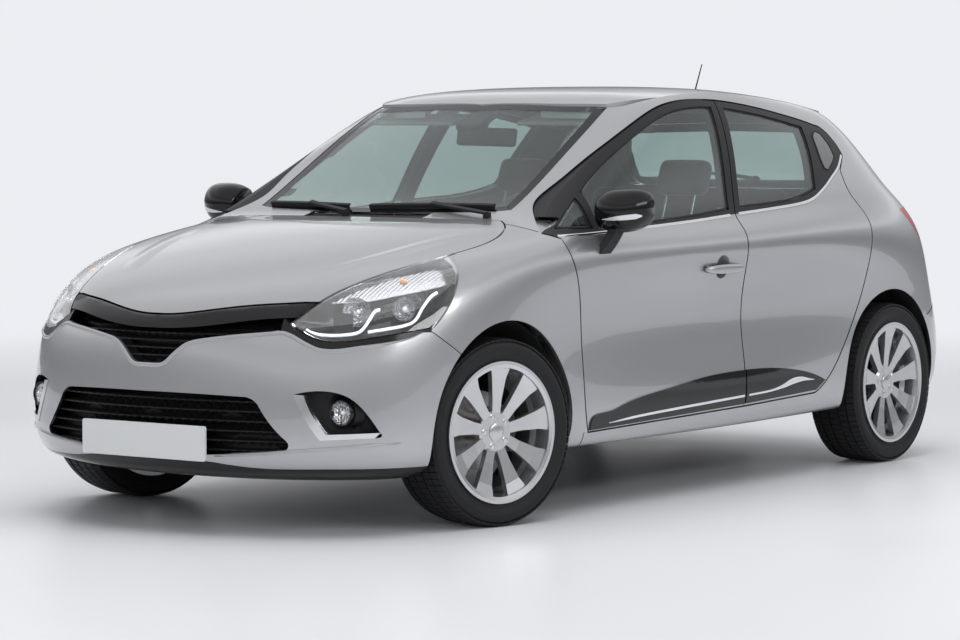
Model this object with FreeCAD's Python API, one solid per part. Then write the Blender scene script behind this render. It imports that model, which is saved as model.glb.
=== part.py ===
import FreeCAD, Part
import math
import os

# A five-door hatchback car, made as an assembly of its real panels and units.
# All sizes are in millimetres. x points to the car's left, y to its rear, z up.
# The origin is on the ground, in the middle of the car's length and width.

os.makedirs("parts", exist_ok=True)
V = FreeCAD.Vector

# Overall sizes
length = 4020.0
width = 1732.0
height = 1448.0
wheelbase = 2589.0
front_axle_place = -1187.0
track = 1506.0

# Panels
skin_thickness = 12.0
door_depth = 100.0
frame_depth = 42.0
tail_depth = 55.0
rebate_room = 7.0
flange_width = 26.0
rebate_width = 12.0
ledge_thickness = 8.0
pillar_half_width = 37.0
leaf_start = 768.0
leaf_end = 808.0
leaf_height = 50.0
tail_hinge_width = 30.0
tail_hinge_height = 1366.0
tail_hinge_shares = [-0.28, 0.245]
sill_lift = 32.0
roof_thickness = 26.0
shut_gap = 6.0
glass_thickness = 4.5
glass_step = 2.0
side_glass_step = 7.0
seal_room = 0.4

# Wheels
tyre_radius = 308.0
tyre_width = 205.0
rim_radius = 233.0
rim_width = 190.0
spoke_count = 9
arch_radius = 364.0
front_arch_place = -1180.0
rear_arch_place = 1385.0
rest_steer_angle = -12.0
disc_radius = 130.0
disc_thickness = 22.0
hub_radius = 70.0
kingpin_inset = 20.0
wheel_room = 6.0
wiper_width = 12.0
wiper_foot_height = 968.0
cowl_step = 9.0
cowl_thickness = 6.0
aerial_radius = 22.0
aerial_foot_length = 30.0
aerial_length = 165.0
aerial_thickness = 7.0

# Front lamps, grilles and trims
lamp_depth = 95.0
lens_thickness = 4.0
housing_wall = 5.0
lamp_rim_thickness = 5.6
lamp_rim_reach = 8.0
slat_height = 5.0
slat_pitch = 24.0
bar_depth = 24.0
bowl_depth = 40.0
bowl_wall = 2.5
bowl_stem = 60.0
bulb_radius = 8.0
recess_depth = 10.0
slat_depth = 44.0
grille_step = 12.0
plate_width = 520.0
plate_height = 112.0
plate_thickness = 9.0
plate_place = 299.0
plate_foot_length = 55.0
fog_trim_proud = 1.5
fog_lamp_radius = 35.0
fog_bezel_width = 8.0
fog_reach = 70.0
fog_depth = 46.0
fog_rim_depth = 48.0
trim_thickness = 5.0
mirror_stalk = 17.0
handle_cup_radius = 60.0
handle_cup_depth = 16.0
handle_thickness = 12.0
handle_proud = 34.0

# Underbody
floor_height = 215.0
floor_thickness = 25.0
boot_floor_height = 440.0
bulkhead_place = -890.0
bulkhead_height = 900.0
rail_depth = 90.0
liner_thickness = 4.0
front_liner_start = 470.0
rear_liner_start = 590.0
hole_room = 1.0
lap = 10.0
floor_lead = 420.0
tunnel_half = 120.0
tunnel_height = 130.0
tunnel_wall = 14.0
rail_place = 420.0
jack_place = 600.0
jack_lead = 600.0
jack_half = 35.0
jack_thickness = 8.0
rail_width = 60.0
rail_height = 430.0
rear_rail_height = 350.0
tower_half = 67.0
tower_thickness = 14.0
exhaust_radius = 27.0
pipe_place = -150.0
pipe_height = 180.0
silencer_round = 40.0
hanger_half = 8.0

# Knuckles, suspension and engine
knuckle_length = 62.0
knuckle_radius = 42.0
stem_half = 28.0
stem_drop = 103.7
stem_rise = 120.0
caliper_thickness = 34.0
caliper_room = 2.5
caliper_half = 75.0
strut_radius = 25.0
strut_length = 330.0
strut_place = 585.0
strut_foot = 400.0
strut_lean_share = 0.0455
spring_radius = 58.0
spring_height = 170.0
spring_lap = 30.0
cross_half = 410.0
cross_lead = 70.0
cross_length = 190.0
cross_bottom = 190.0
cross_depth = 65.0
ball_place = 640.0
ball_radius = 26.0
arm_thickness = 18.0
trailing_width = 55.0
trailing_bottom = 260.0
trailing_depth = 70.0
trailing_end = 60.0
twist_half = 600.0
twist_lead = 250.0
twist_width = 80.0
rear_spring_radius = 45.0
engine_width = 590.0
engine_length = 490.0
engine_height = 460.0
engine_bottom = 300.0
engine_lead = 313.0
cooling_half = 330.0
cooling_thickness = 50.0
cooling_bottom = 240.0
cooling_height = 420.0
beam_half = 560.0
beam_thickness = 38.0
beam_depth = 110.0

# Cabin
seat_place = 370.0
seat_width = 500.0
seat_length = 510.0
seat_front = -140.0
seat_bottom = 320.0
cushion_thickness = 150.0
back_thickness = 125.0
back_length = 600.0
back_lean = 20.0
seat_round = 45.0
base_inset = 60.0
rest_gap = 55.0
rest_thickness = 90.0
rest_height = 170.0
post_radius = 6.0
post_length = 100.0
bench_front = 560.0
bench_length = 460.0
bench_back_thickness = 110.0
bench_back_length = 560.0
bench_lean = 24.0
bench_rest_half = 110.0
bench_rest_thickness = 75.0
bench_rest_height = 120.0
hood_round = 25.0
steering_hub_radius = 58.0
steering_hub_length = 50.0
column_radius = 28.0
column_length = 175.0
steering_wheel_radius = 185.0
steering_wheel_tube = 15.0
steering_wheel_place = -300.0
steering_wheel_height = 905.0
steering_wheel_lean = 25.0

half_length = length / 2
half_width = width / 2
half_track = track / 2
rear_axle_place = front_axle_place + wheelbase
reach = length * 2


# Helpers

def save(shape, name):
    shape.exportStep("parts/" + name + ".step")
    print(name, len(shape.Solids), round(shape.Volume / 1000.0), "cm3")


def mirrored(shape):
    return shape.mirror(V(0, 0, 0), V(1, 0, 0))


def both(shape):
    return Part.makeCompound([shape, mirrored(shape)])


def share_box(shares):
    # Low and high places, as shares of half the width, half the length and the height.
    (x0, x1), (y0, y1), (z0, z1) = shares
    return box(x0 * half_width, x1 * half_width, y0 * half_length, y1 * half_length, z0 * height,
        z1 * height)


def whole(shape):
    # One clean solid out of a boolean result.
    solids = sorted(shape.Solids, key=lambda s: -s.Volume)
    return solids[0]


def box(x0, x1, y0, y1, z0, z1):
    return Part.makeBox(x1 - x0, y1 - y0, z1 - z0, V(x0, y0, z0))


# The outer skin
# Poles of one smooth surface that wraps round the whole car. Each row is one
# station, from the front centre past the left side to the rear centre. Its
# places run up from the underside to the roof edge. Shares are of the half
# width, the half length and the height.
skin_pole_shares = [
    # front centre
    [
        (0, -0.8856, 0.1140), (0, -0.9726, 0.1278), (0, -0.9940, 0.1623),
        (0, -1.0000, 0.2141), (0, -1.0000, 0.2728), (0, -0.9975, 0.3315),
        (0, -0.9930, 0.3902), (0, -0.9856, 0.4420), (0, -0.9721, 0.4834),
        (0, -0.9453, 0.5159), (0, -0.8781, 0.5525), (0, -0.7512, 0.6022),
        (0, -0.6020, 0.6478), (0, -0.4776, 0.6796), (0, -0.4005, 0.6796),
        (0, -0.2488, 0.8094), (0, -0.1144, 0.9309), (0, -0.0448, 0.9772),
        (0, -0.0100, 0.9876),
    ],
    # front, beside the plate
    [
        (0.3349, -0.8716, 0.1140), (0.3464, -0.9577, 0.1278), (0.3522, -0.9776, 0.1623),
        (0.3557, -0.9831, 0.2141), (0.3580, -0.9826, 0.2728), (0.3557, -0.9796, 0.3315),
        (0.3522, -0.9741, 0.3902), (0.3487, -0.9652, 0.4420), (0.3464, -0.9493, 0.4834),
        (0.3464, -0.9214, 0.5180), (0.3510, -0.8567, 0.5546), (0.3637, -0.7338, 0.6043),
        (0.3753, -0.5871, 0.6492), (0.3753, -0.4701, 0.6789), (0.3672, -0.3955, 0.6802),
        (0.3522, -0.2463, 0.8066), (0.3349, -0.1104, 0.9282), (0.3233, -0.0423, 0.9744),
        (0.3141, -0.0075, 0.9855),
    ],
    # front, inner lamp
    [
        (0.6293, -0.8209, 0.1174), (0.6524, -0.9129, 0.1312), (0.6605, -0.9343, 0.1657),
        (0.6651, -0.9403, 0.2141), (0.6651, -0.9393, 0.2728), (0.6605, -0.9353, 0.3315),
        (0.6536, -0.9284, 0.3867), (0.6467, -0.9164, 0.4351), (0.6420, -0.8955, 0.4800),
        (0.6443, -0.8592, 0.5228), (0.6524, -0.7970, 0.5622), (0.6697, -0.6990, 0.6022),
        (0.6871, -0.5672, 0.6436), (0.6928, -0.4602, 0.6713), (0.6755, -0.3856, 0.6802),
        (0.6293, -0.2438, 0.7956), (0.5774, -0.1035, 0.9151), (0.5543, -0.0398, 0.9613),
        (0.5254, -0.0100, 0.9738),
    ],
    # front corner
    [
        (0.8083, -0.7662, 0.1209), (0.8545, -0.8284, 0.1347), (0.8741, -0.8483, 0.1692),
        (0.8834, -0.8557, 0.2175), (0.8857, -0.8557, 0.2728), (0.8834, -0.8517, 0.3301),
        (0.8799, -0.8458, 0.3854), (0.8741, -0.8358, 0.4351), (0.8661, -0.8159, 0.4834),
        (0.8580, -0.7796, 0.5304), (0.8522, -0.7274, 0.5718), (0.8522, -0.6517, 0.6050),
        (0.8545, -0.5373, 0.6354), (0.8337, -0.4428, 0.6561), (0.7968, -0.3980, 0.6713),
        (0.7252, -0.2562, 0.7769), (0.6524, -0.1020, 0.8978), (0.6178, -0.0323, 0.9461),
        (0.5831, -0.0050, 0.9613),
    ],
    # wing before the wheel
    [
        (0.8776, -0.7164, 0.1347), (0.9273, -0.7363, 0.1450), (0.9515, -0.7438, 0.1761),
        (0.9654, -0.7463, 0.2210), (0.9711, -0.7463, 0.2728), (0.9723, -0.7453, 0.3280),
        (0.9723, -0.7423, 0.3812), (0.9700, -0.7373, 0.4337), (0.9654, -0.7289, 0.4834),
        (0.9573, -0.7114, 0.5283), (0.9469, -0.6791, 0.5663), (0.9411, -0.6169, 0.5953),
        (0.9330, -0.5274, 0.6236), (0.9122, -0.4478, 0.6436), (0.8718, -0.3980, 0.6616),
        (0.7806, -0.2637, 0.7631), (0.6963, -0.1020, 0.8909), (0.6559, -0.0224, 0.9434),
        (0.6236, 0.0025, 0.9565),
    ],
    # front wheel
    [
        (0.8891, -0.5990, 0.1554), (0.9469, -0.5990, 0.1554), (0.9734, -0.5990, 0.1830),
        (0.9873, -0.5990, 0.2244), (0.9931, -0.5990, 0.2728), (0.9954, -0.5990, 0.3260),
        (0.9965, -0.5970, 0.3785), (0.9965, -0.5930, 0.4296), (0.9942, -0.5871, 0.4800),
        (0.9908, -0.5721, 0.5249), (0.9850, -0.5423, 0.5628), (0.9769, -0.4975, 0.5953),
        (0.9607, -0.4478, 0.6215), (0.9307, -0.3980, 0.6423), (0.8949, -0.3582, 0.6616),
        (0.8141, -0.2239, 0.7700), (0.7252, -0.0746, 0.8943), (0.6755, 0.0100, 0.9530),
        (0.6409, 0.0299, 0.9641),
    ],
    # front of the front door
    [
        (0.8891, -0.3582, 0.1602), (0.9492, -0.3582, 0.1430), (0.9758, -0.3582, 0.1727),
        (0.9896, -0.3572, 0.2196), (0.9919, -0.3562, 0.2728), (0.9850, -0.3542, 0.3280),
        (0.9758, -0.3522, 0.3833), (0.9723, -0.3493, 0.4365), (0.9758, -0.3458, 0.4869),
        (0.9838, -0.3408, 0.5318), (0.9896, -0.3333, 0.5718), (0.9850, -0.3184, 0.6050),
        (0.9619, -0.2985, 0.6298), (0.9226, -0.2761, 0.6492), (0.8926, -0.2537, 0.6685),
        (0.8337, -0.1493, 0.7838), (0.7483, -0.0100, 0.9061), (0.6882, 0.0647, 0.9648),
        (0.6490, 0.0796, 0.9751),
    ],
    # front door
    [
        (0.8891, -0.1070, 0.1602), (0.9469, -0.1070, 0.1416), (0.9734, -0.1070, 0.1727),
        (0.9896, -0.1060, 0.2210), (0.9908, -0.1045, 0.2749), (0.9769, -0.1025, 0.3315),
        (0.9607, -0.1005, 0.3881), (0.9561, -0.0985, 0.4434), (0.9642, -0.0955, 0.4959),
        (0.9804, -0.0920, 0.5435), (0.9908, -0.0876, 0.5836), (0.9850, -0.0821, 0.6146),
        (0.9561, -0.0746, 0.6367), (0.9157, -0.0647, 0.6547), (0.8868, -0.0547, 0.6754),
        (0.8314, 0, 0.7977), (0.7506, 0.0846, 0.9199), (0.6836, 0.1294, 0.9751),
        (0.6432, 0.1393, 0.9848),
    ],
    # middle pillar
    [
        (0.8891, 0.1418, 0.1602), (0.9469, 0.1418, 0.1416), (0.9734, 0.1418, 0.1740),
        (0.9896, 0.1418, 0.2224), (0.9896, 0.1418, 0.2762), (0.9746, 0.1418, 0.3329),
        (0.9573, 0.1418, 0.3902), (0.9538, 0.1418, 0.4454), (0.9642, 0.1418, 0.4986),
        (0.9815, 0.1418, 0.5470), (0.9931, 0.1418, 0.5870), (0.9873, 0.1428, 0.6195),
        (0.9584, 0.1443, 0.6436), (0.9169, 0.1468, 0.6630), (0.8868, 0.1493, 0.6837),
        (0.8291, 0.1642, 0.8046), (0.7448, 0.1990, 0.9289), (0.6755, 0.2139, 0.9820),
        (0.6339, 0.2189, 0.9903),
    ],
    # rear door
    [
        (0.8891, 0.3881, 0.1623), (0.9469, 0.3881, 0.1464), (0.9734, 0.3881, 0.1782),
        (0.9908, 0.3881, 0.2265), (0.9931, 0.3881, 0.2797), (0.9838, 0.3881, 0.3363),
        (0.9711, 0.3881, 0.3923), (0.9677, 0.3881, 0.4475), (0.9758, 0.3881, 0.5014),
        (0.9908, 0.3881, 0.5511), (1.0000, 0.3881, 0.5939), (0.9942, 0.3881, 0.6298),
        (0.9654, 0.3881, 0.6575), (0.9192, 0.3881, 0.6796), (0.8868, 0.3881, 0.7010),
        (0.8222, 0.3831, 0.8149), (0.7344, 0.3806, 0.9254), (0.6640, 0.3781, 0.9793),
        (0.6236, 0.3756, 0.9876),
    ],
    # rear wheel
    [
        (0.8949, 0.6891, 0.1623), (0.9527, 0.6891, 0.1554), (0.9769, 0.6891, 0.1851),
        (0.9908, 0.6891, 0.2314), (0.9965, 0.6891, 0.2831), (0.9977, 0.6891, 0.3384),
        (0.9977, 0.6891, 0.3936), (0.9977, 0.6891, 0.4489), (0.9988, 0.6891, 0.5041),
        (1.0000, 0.6891, 0.5559), (0.9954, 0.6866, 0.6022), (0.9792, 0.6791, 0.6436),
        (0.9411, 0.6667, 0.6802), (0.8949, 0.6517, 0.7113), (0.8603, 0.6368, 0.7424),
        (0.7968, 0.6119, 0.8218), (0.7102, 0.5771, 0.9047), (0.6443, 0.5522, 0.9586),
        (0.6051, 0.5448, 0.9669),
    ],
    # behind the rear wheel
    [
        (0.8834, 0.8408, 0.1623), (0.9446, 0.8507, 0.1623), (0.9723, 0.8557, 0.1934),
        (0.9838, 0.8567, 0.2383), (0.9885, 0.8567, 0.2887), (0.9885, 0.8557, 0.3419),
        (0.9850, 0.8517, 0.3971), (0.9792, 0.8458, 0.4523), (0.9734, 0.8383, 0.5076),
        (0.9654, 0.8284, 0.5594), (0.9503, 0.8159, 0.6077), (0.9238, 0.8000, 0.6526),
        (0.8868, 0.7811, 0.6941), (0.8522, 0.7612, 0.7286), (0.8222, 0.7438, 0.7631),
        (0.7667, 0.7065, 0.8287), (0.6928, 0.6642, 0.9012), (0.6328, 0.6318, 0.9461),
        (0.5947, 0.6194, 0.9551),
    ],
    # rear corner
    [
        (0.8314, 0.9055, 0.1657), (0.8891, 0.9254, 0.1692), (0.9145, 0.9363, 0.2003),
        (0.9238, 0.9403, 0.2452), (0.9284, 0.9418, 0.2956), (0.9238, 0.9403, 0.3488),
        (0.9122, 0.9333, 0.4040), (0.9030, 0.9234, 0.4593), (0.8949, 0.9144, 0.5145),
        (0.8891, 0.9055, 0.5663), (0.8799, 0.8945, 0.6146), (0.8580, 0.8786, 0.6595),
        (0.8222, 0.8532, 0.7010), (0.7852, 0.8259, 0.7390), (0.7621, 0.8060, 0.7735),
        (0.7217, 0.7711, 0.8356), (0.6697, 0.7363, 0.8978), (0.6178, 0.7015, 0.9358),
        (0.5831, 0.6816, 0.9448),
    ],
    # rear, inner lamp
    [
        (0.6467, 0.9478, 0.1657), (0.6928, 0.9652, 0.1706), (0.7136, 0.9761, 0.2017),
        (0.7217, 0.9811, 0.2465), (0.7240, 0.9826, 0.2970), (0.7206, 0.9811, 0.3508),
        (0.7090, 0.9741, 0.4061), (0.6975, 0.9612, 0.4613), (0.6882, 0.9502, 0.5166),
        (0.6790, 0.9393, 0.5677), (0.6663, 0.9264, 0.6160), (0.6490, 0.9095, 0.6609),
        (0.6293, 0.8881, 0.7030), (0.6120, 0.8667, 0.7424), (0.5982, 0.8458, 0.7804),
        (0.5716, 0.8070, 0.8425), (0.5370, 0.7637, 0.9033), (0.5023, 0.7239, 0.9392),
        (0.4792, 0.6990, 0.9489),
    ],
    # rear, beside the plate
    [
        (0.3464, 0.9592, 0.1657), (0.3753, 0.9786, 0.1713), (0.3857, 0.9910, 0.2030),
        (0.3903, 0.9955, 0.2479), (0.3926, 0.9970, 0.2983), (0.3903, 0.9955, 0.3522),
        (0.3834, 0.9881, 0.4075), (0.3764, 0.9741, 0.4627), (0.3707, 0.9627, 0.5173),
        (0.3649, 0.9507, 0.5691), (0.3591, 0.9373, 0.6174), (0.3522, 0.9204, 0.6630),
        (0.3441, 0.9010, 0.7058), (0.3372, 0.8806, 0.7459), (0.3303, 0.8597, 0.7852),
        (0.3187, 0.8199, 0.8481), (0.3002, 0.7741, 0.9088), (0.2829, 0.7313, 0.9448),
        (0.2714, 0.7065, 0.9544),
    ],
    # rear centre
    [
        (0, 0.9627, 0.1657), (0, 0.9841, 0.1713), (0, 0.9960, 0.2037),
        (0, 1.0005, 0.2486), (0, 1.0020, 0.2983), (0, 1.0005, 0.3522),
        (0, 0.9930, 0.4075), (0, 0.9791, 0.4627), (0, 0.9672, 0.5180),
        (0, 0.9552, 0.5698), (0, 0.9418, 0.6181), (0, 0.9244, 0.6630),
        (0, 0.9055, 0.7072), (0, 0.8861, 0.7479), (0, 0.8657, 0.7880),
        (0, 0.8259, 0.8522), (0, 0.7786, 0.9130), (0, 0.7363, 0.9489),
        (0, 0.7114, 0.9586),
    ],
]

poles = [[V(a * half_width, b * half_length, c * height) for a, b, c in row] for row in skin_pole_shares]
last = len(poles) - 1
middle_station = 8
right_poles = [[V(-p.x, p.y, p.z) for p in row] for row in poles]
loop_poles = right_poles[middle_station:0:-1] + poles + right_poles[last - 1:middle_station - 1:-1]


def spline_sheet(rows):
    u_count = len(rows)
    v_count = len(rows[0])
    sheet = Part.BSplineSurface()
    u_knots = [float(i) for i in range(u_count - 2)]
    v_knots = [float(i) for i in range(v_count - 2)]
    u_mults = [4] + [1] * (u_count - 4) + [4]
    v_mults = [4] + [1] * (v_count - 4) + [4]
    sheet.buildFromPolesMultsKnots(rows, u_mults, v_mults, u_knots, v_knots, False, False, 3, 3)
    return sheet


def outward(rows, i, j):
    a = rows[max(i - 1, 0)][j]
    b = rows[min(i + 1, len(rows) - 1)][j]
    c = rows[i][max(j - 1, 0)]
    d = rows[i][min(j + 1, len(rows[0]) - 1)]
    normal = (b - a).cross(d - c)
    normal.normalize()
    return normal


def offset_rows(rows, depth_of):
    result = []
    for i, row in enumerate(rows):
        result.append([p - outward(rows, i, j) * depth_of(i, j, p) for j, p in enumerate(row)])
    return result


def thick_sheet(outer_rows, inner_rows):
    # The solid between two sheets that share their directions.
    outer = spline_sheet(outer_rows)
    inner = spline_sheet(inner_rows)
    u_end = float(len(outer_rows) - 3)
    v_end = float(len(outer_rows[0]) - 3)
    faces = [outer.toShape(), inner.toShape()]
    for u in (0.0, u_end):
        faces.append(Part.makeRuledSurface(outer.uIso(u).toShape(), inner.uIso(u).toShape()))
    for v in (0.0, v_end):
        faces.append(Part.makeRuledSurface(outer.vIso(v).toShape(), inner.vIso(v).toShape()))
    shell = Part.makeShell(faces)
    shell.sewShape()
    solid = Part.makeSolid(shell)
    if solid.Volume < 0:
        solid.reverse()
    return solid


def layer(start, end):
    near = loop_poles
    if start != 0:
        near = offset_rows(loop_poles, lambda i, j, p: start)
    return thick_sheet(near, offset_rows(loop_poles, lambda i, j, p: end))


shell_layer = layer(0, skin_thickness)


def station_of(i):
    if i < middle_station:
        return middle_station - i
    if i <= middle_station + last:
        return i - middle_station
    return middle_station + 2 * last - i


belt_level = 13
side_stations = range(4, 12)
sill_lift_shares = [0.3, 1.1, 0.6, 0.1]


def wall_rows(low_depth, high_depth):
    # A face inside the side walls, doors and tailgate, this deep below the skin.
    rows = []
    for i, row in enumerate(loop_poles):
        station = station_of(i)
        inner = []
        for j, p in enumerate(row):
            if station in side_stations and j <= belt_level:
                depth = low_depth - (low_depth - high_depth) * max(0, j - 11) / 4.0
                lift = sill_lift * sill_lift_shares[j] if j < len(sill_lift_shares) else 0
                inner.append(V(p.x - math.copysign(depth, p.x), p.y, p.z + lift))
            else:
                depth = tail_depth if station > 11 else high_depth
                inner.append(p - outward(loop_poles, i, j) * depth)
        rows.append(inner)
    return rows


wall_layer = thick_sheet(loop_poles, wall_rows(door_depth, frame_depth))
behind_flange = thick_sheet(offset_rows(loop_poles, lambda i, j, p: skin_thickness),
    wall_rows(door_depth * 1.2, frame_depth * 1.2))
rebate_layer = layer(-rebate_room, skin_thickness + rebate_room)
glazing_layer = layer(glass_step, glass_step + glass_thickness)
side_glazing_layer = layer(side_glass_step, side_glass_step + glass_thickness)


# Outlines
# An outline is a list of segments that close. It is given in shares and turned
# into millimetres once; after that it can be grown or shrunk.

def in_sizes(segments, axis):
    scales = {"x": (half_length, height), "y": (half_width, height), "z": (half_width, half_length)}[axis]
    return [[(a * scales[0], b * scales[1]) for a, b in segment] for segment in segments]


def grown(loop, distance):
    flat = [p for segment in loop for p in segment[:-1]]
    count = len(flat)
    area = sum(flat[i][0] * flat[(i + 1) % count][1] - flat[(i + 1) % count][0] * flat[i][1] for i in range(count))
    side = 1.0 if area > 0 else -1.0
    moved = []
    for i in range(count):
        a, b, c = flat[i - 1], flat[i], flat[(i + 1) % count]
        before = unit(b[0] - a[0], b[1] - a[1])
        after = unit(c[0] - b[0], c[1] - b[1])
        n1 = (side * before[1], -side * before[0])
        n2 = (side * after[1], -side * after[0])
        spread = max(1.0 + n1[0] * n2[0] + n1[1] * n2[1], 0.3)
        moved.append((b[0] + distance * (n1[0] + n2[0]) / spread,
            b[1] + distance * (n1[1] + n2[1]) / spread))
    result = []
    at = 0
    for segment in loop:
        result.append([moved[(at + k) % count] for k in range(len(segment))])
        at += len(segment) - 1
    return result


def unit(a, b):
    size = math.hypot(a, b)
    return (a / size, b / size)


def block(loop, axis, start, end):
    # A block with the outline, seen along the axis, between two places on it.
    def spot(a, b):
        return {"x": V(start, a, b), "y": V(a, start, b), "z": V(a, b, start)}[axis]
    path = {"x": V(end - start, 0, 0), "y": V(0, end - start, 0), "z": V(0, 0, end - start)}[axis]
    edges = []
    for segment in loop:
        spots = [spot(*p) for p in segment]
        if len(spots) == 2:
            edges.append(Part.LineSegment(spots[0], spots[1]).toShape())
        else:
            curve = Part.BSplineCurve()
            curve.interpolate(spots)
            edges.append(curve.toShape())
    return Part.Face(Part.Wire(edges)).extrude(path)


def side_block(loop, start=0.62):
    return block(loop, "x", half_width * start, half_width * 1.2)


def symmetric(half):
    # Closes a half outline, given from the centre line round to it, on both sides.
    other = [[(-a, b) for a, b in reversed(segment)] for segment in reversed(half)]
    return half + other


front_door_shares = [
    [(-0.3512, 0.1892), (-0.3662, 0.2417), (-0.3701, 0.2970), (-0.3711, 0.3591), (-0.3721, 0.4213),
        (-0.3756, 0.4765), (-0.3841, 0.5283),
     (-0.3955, 0.5753), (-0.4035, 0.6119), (-0.4020, 0.6409)],
    [(-0.4020, 0.6409), (-0.4239, 0.6519)],
    [(-0.4239, 0.6519), (-0.3682, 0.6927), (-0.3154, 0.7320), (-0.2438, 0.7838), (-0.1781, 0.8287),
        (-0.1040, 0.8729), (-0.0284, 0.9130),
     (0.0463, 0.9448), (0.1204, 0.9606), (0.1791, 0.9641), (0.2398, 0.9627)],
    [(0.2398, 0.9627), (0.2363, 0.9461), (0.2214, 0.8805), (0.2065, 0.8149), (0.1900, 0.7493),
        (0.1751, 0.6906), (0.1582, 0.6423), (0.1517, 0.5939),
     (0.1502, 0.5387), (0.1502, 0.4834), (0.1483, 0.3867), (0.1458, 0.2970), (0.1443, 0.2030)],
    [(0.1443, 0.2030), (-0.3512, 0.1892)],
]
rear_door_shares = [
    [(0.1473, 0.2030), (0.1488, 0.2970), (0.1512, 0.3867), (0.1532, 0.4834), (0.1532, 0.5387),
        (0.1547, 0.5939), (0.1612, 0.6423), (0.1781, 0.6906),
     (0.1930, 0.7493), (0.2095, 0.8149), (0.2244, 0.8805), (0.2393, 0.9461), (0.2428, 0.9627)],
    [(0.2428, 0.9627), (0.3234, 0.9544), (0.3980, 0.9427), (0.4975, 0.9233), (0.5473, 0.9123),
        (0.5970, 0.8985)],
    [(0.5970, 0.8985), (0.6279, 0.8812), (0.6418, 0.8529), (0.6448, 0.8218)],
    [(0.6448, 0.8218), (0.6080, 0.7852)],
    [(0.6080, 0.7852), (0.6035, 0.7493), (0.6045, 0.7148), (0.6085, 0.6740), (0.6109, 0.6471),
        (0.6080, 0.6112), (0.5940, 0.5442),
     (0.5697, 0.4586), (0.5284, 0.3729), (0.4751, 0.2901), (0.4403, 0.2472), (0.3980, 0.2141)],
    [(0.3980, 0.2141), (0.1473, 0.2030)],
]
front_window_shares = [
    [(-0.2746, 0.6595), (-0.2746, 0.7445)],
    [(-0.2746, 0.7445), (-0.1781, 0.8122), (-0.1040, 0.8557), (-0.0284, 0.8957), (0.0463, 0.9275),
        (0.1204, 0.9441), (0.1716, 0.9482),
     (0.2169, 0.9475)],
    [(0.2169, 0.9475), (0.1891, 0.8287), (0.1582, 0.6906)],
    [(0.1582, 0.6906), (0.0448, 0.6775), (-0.0716, 0.6685), (-0.2746, 0.6595)],
]
front_light_shares = [
    [(-0.3955, 0.6616), (-0.3483, 0.6927), (-0.2935, 0.7320)],
    [(-0.2935, 0.7320), (-0.2935, 0.6588)],
    [(-0.2935, 0.6588), (-0.3955, 0.6616)],
]
rear_window_shares = [
    [(0.2587, 0.9461), (0.3234, 0.9378), (0.3980, 0.9261), (0.4677, 0.9123), (0.5348, 0.8971)],
    [(0.5348, 0.8971), (0.5149, 0.8218), (0.4851, 0.7348)],
    [(0.4851, 0.7348), (0.4080, 0.7120), (0.2985, 0.6996), (0.1965, 0.6934)],
    [(0.1965, 0.6934), (0.2269, 0.8149), (0.2587, 0.9461)],
]
side_region_shares = [
    [(-0.3632, 0.1312), (-0.3662, 0.2417), (-0.3711, 0.3591), (-0.3721, 0.4213), (-0.3756, 0.4765),
        (-0.3841, 0.5283), (-0.3955, 0.5753),
     (-0.4035, 0.6119), (-0.4020, 0.6409)],
    [(-0.4020, 0.6409), (-0.4269, 0.6561)],
    [(-0.4269, 0.6561), (-0.4269, 1.0083)],
    [(-0.4269, 1.0083), (1.0448, 1.0083)],
    [(1.0448, 1.0083), (1.0448, 0.4199)],
    [(1.0448, 0.4199), (0.9204, 0.4227)],
    [(0.9204, 0.4227), (0.8408, 0.3867)],
    [(0.8408, 0.3867), (0.8408, 0.1312)],
    [(0.8408, 0.1312), (-0.3632, 0.1312)],
]
bonnet_edge_shares = [
    (0.5219, -0.9204), (0.5485, -0.9065), (0.5751, -0.8856), (0.5947, -0.8637), (0.6247, -0.8274), (0.6663,
        -0.7801), (0.7055, -0.7343),
    (0.7460, -0.6876), (0.7852, -0.6393), (0.8083, -0.5920), (0.8129, -0.5522), (0.7991, -0.5124), (0.7621,
        -0.4701), (0.7102, -0.4353),
    (0.6605, -0.4154),
]
bonnet_rear_shares = [(0.6605, -0.4154), (0.4619, -0.4259), (0.2309, -0.4308), (0, -0.4323)]
bonnet_nose_shares = [(0, 0.4862), (0.1155, 0.4890), (0.2309, 0.4979), (0.3811, 0.5090), (0.4965, 0.5138),
    (0.5485, 0.5159)]
screen_shares = [
    [(0, -0.4010), (0.2309, -0.3980), (0.4619, -0.3861), (0.5774, -0.3761), (0.6339, -0.3672)],
    [(0.6339, -0.3672), (0.6305, -0.2786), (0.6212, -0.1891), (0.6097, -0.1144), (0.5866, -0.0418)],
    [(0.5866, -0.0418), (0.5427, -0.0517), (0.3464, -0.0701), (0, -0.0786)],
]
wing_front_shares = [
    [(-0.6279, 0.6561), (-0.6289, 0.6119)],
    [(-0.6289, 0.6119), (-0.6468, 0.6036), (-0.6716, 0.5815), (-0.6905, 0.5552), (-0.7164, 0.5145),
        (-0.7463, 0.4738), (-0.7662, 0.4523)],
    [(-0.7662, 0.4523), (-0.7433, 0.4296), (-0.6965, 0.3867)],
]
lamp_bottom_shares = [
    (0.5254, 0.4793), (0.5543, 0.4669), (0.6062, 0.4496), (0.6744, 0.4344), (0.7321, 0.4330), (0.8002,
        0.4392), (0.8591, 0.4475), (0.9238, 0.4586),
    (1.0162, 0.4765),
]
upper_opening_shares = [
    [(0, 0.3771), (0.0600, 0.3778)],
    [(0.0600, 0.3778), (0.0855, 0.3854), (0.1062, 0.3964)],
    [(0.1062, 0.3964), (0.1455, 0.4157)],
    [(0.1455, 0.4157), (0.1732, 0.4261), (0.2309, 0.4337), (0.3591, 0.4441), (0.4619, 0.4503),
        (0.5219, 0.4558)],
]
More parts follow.
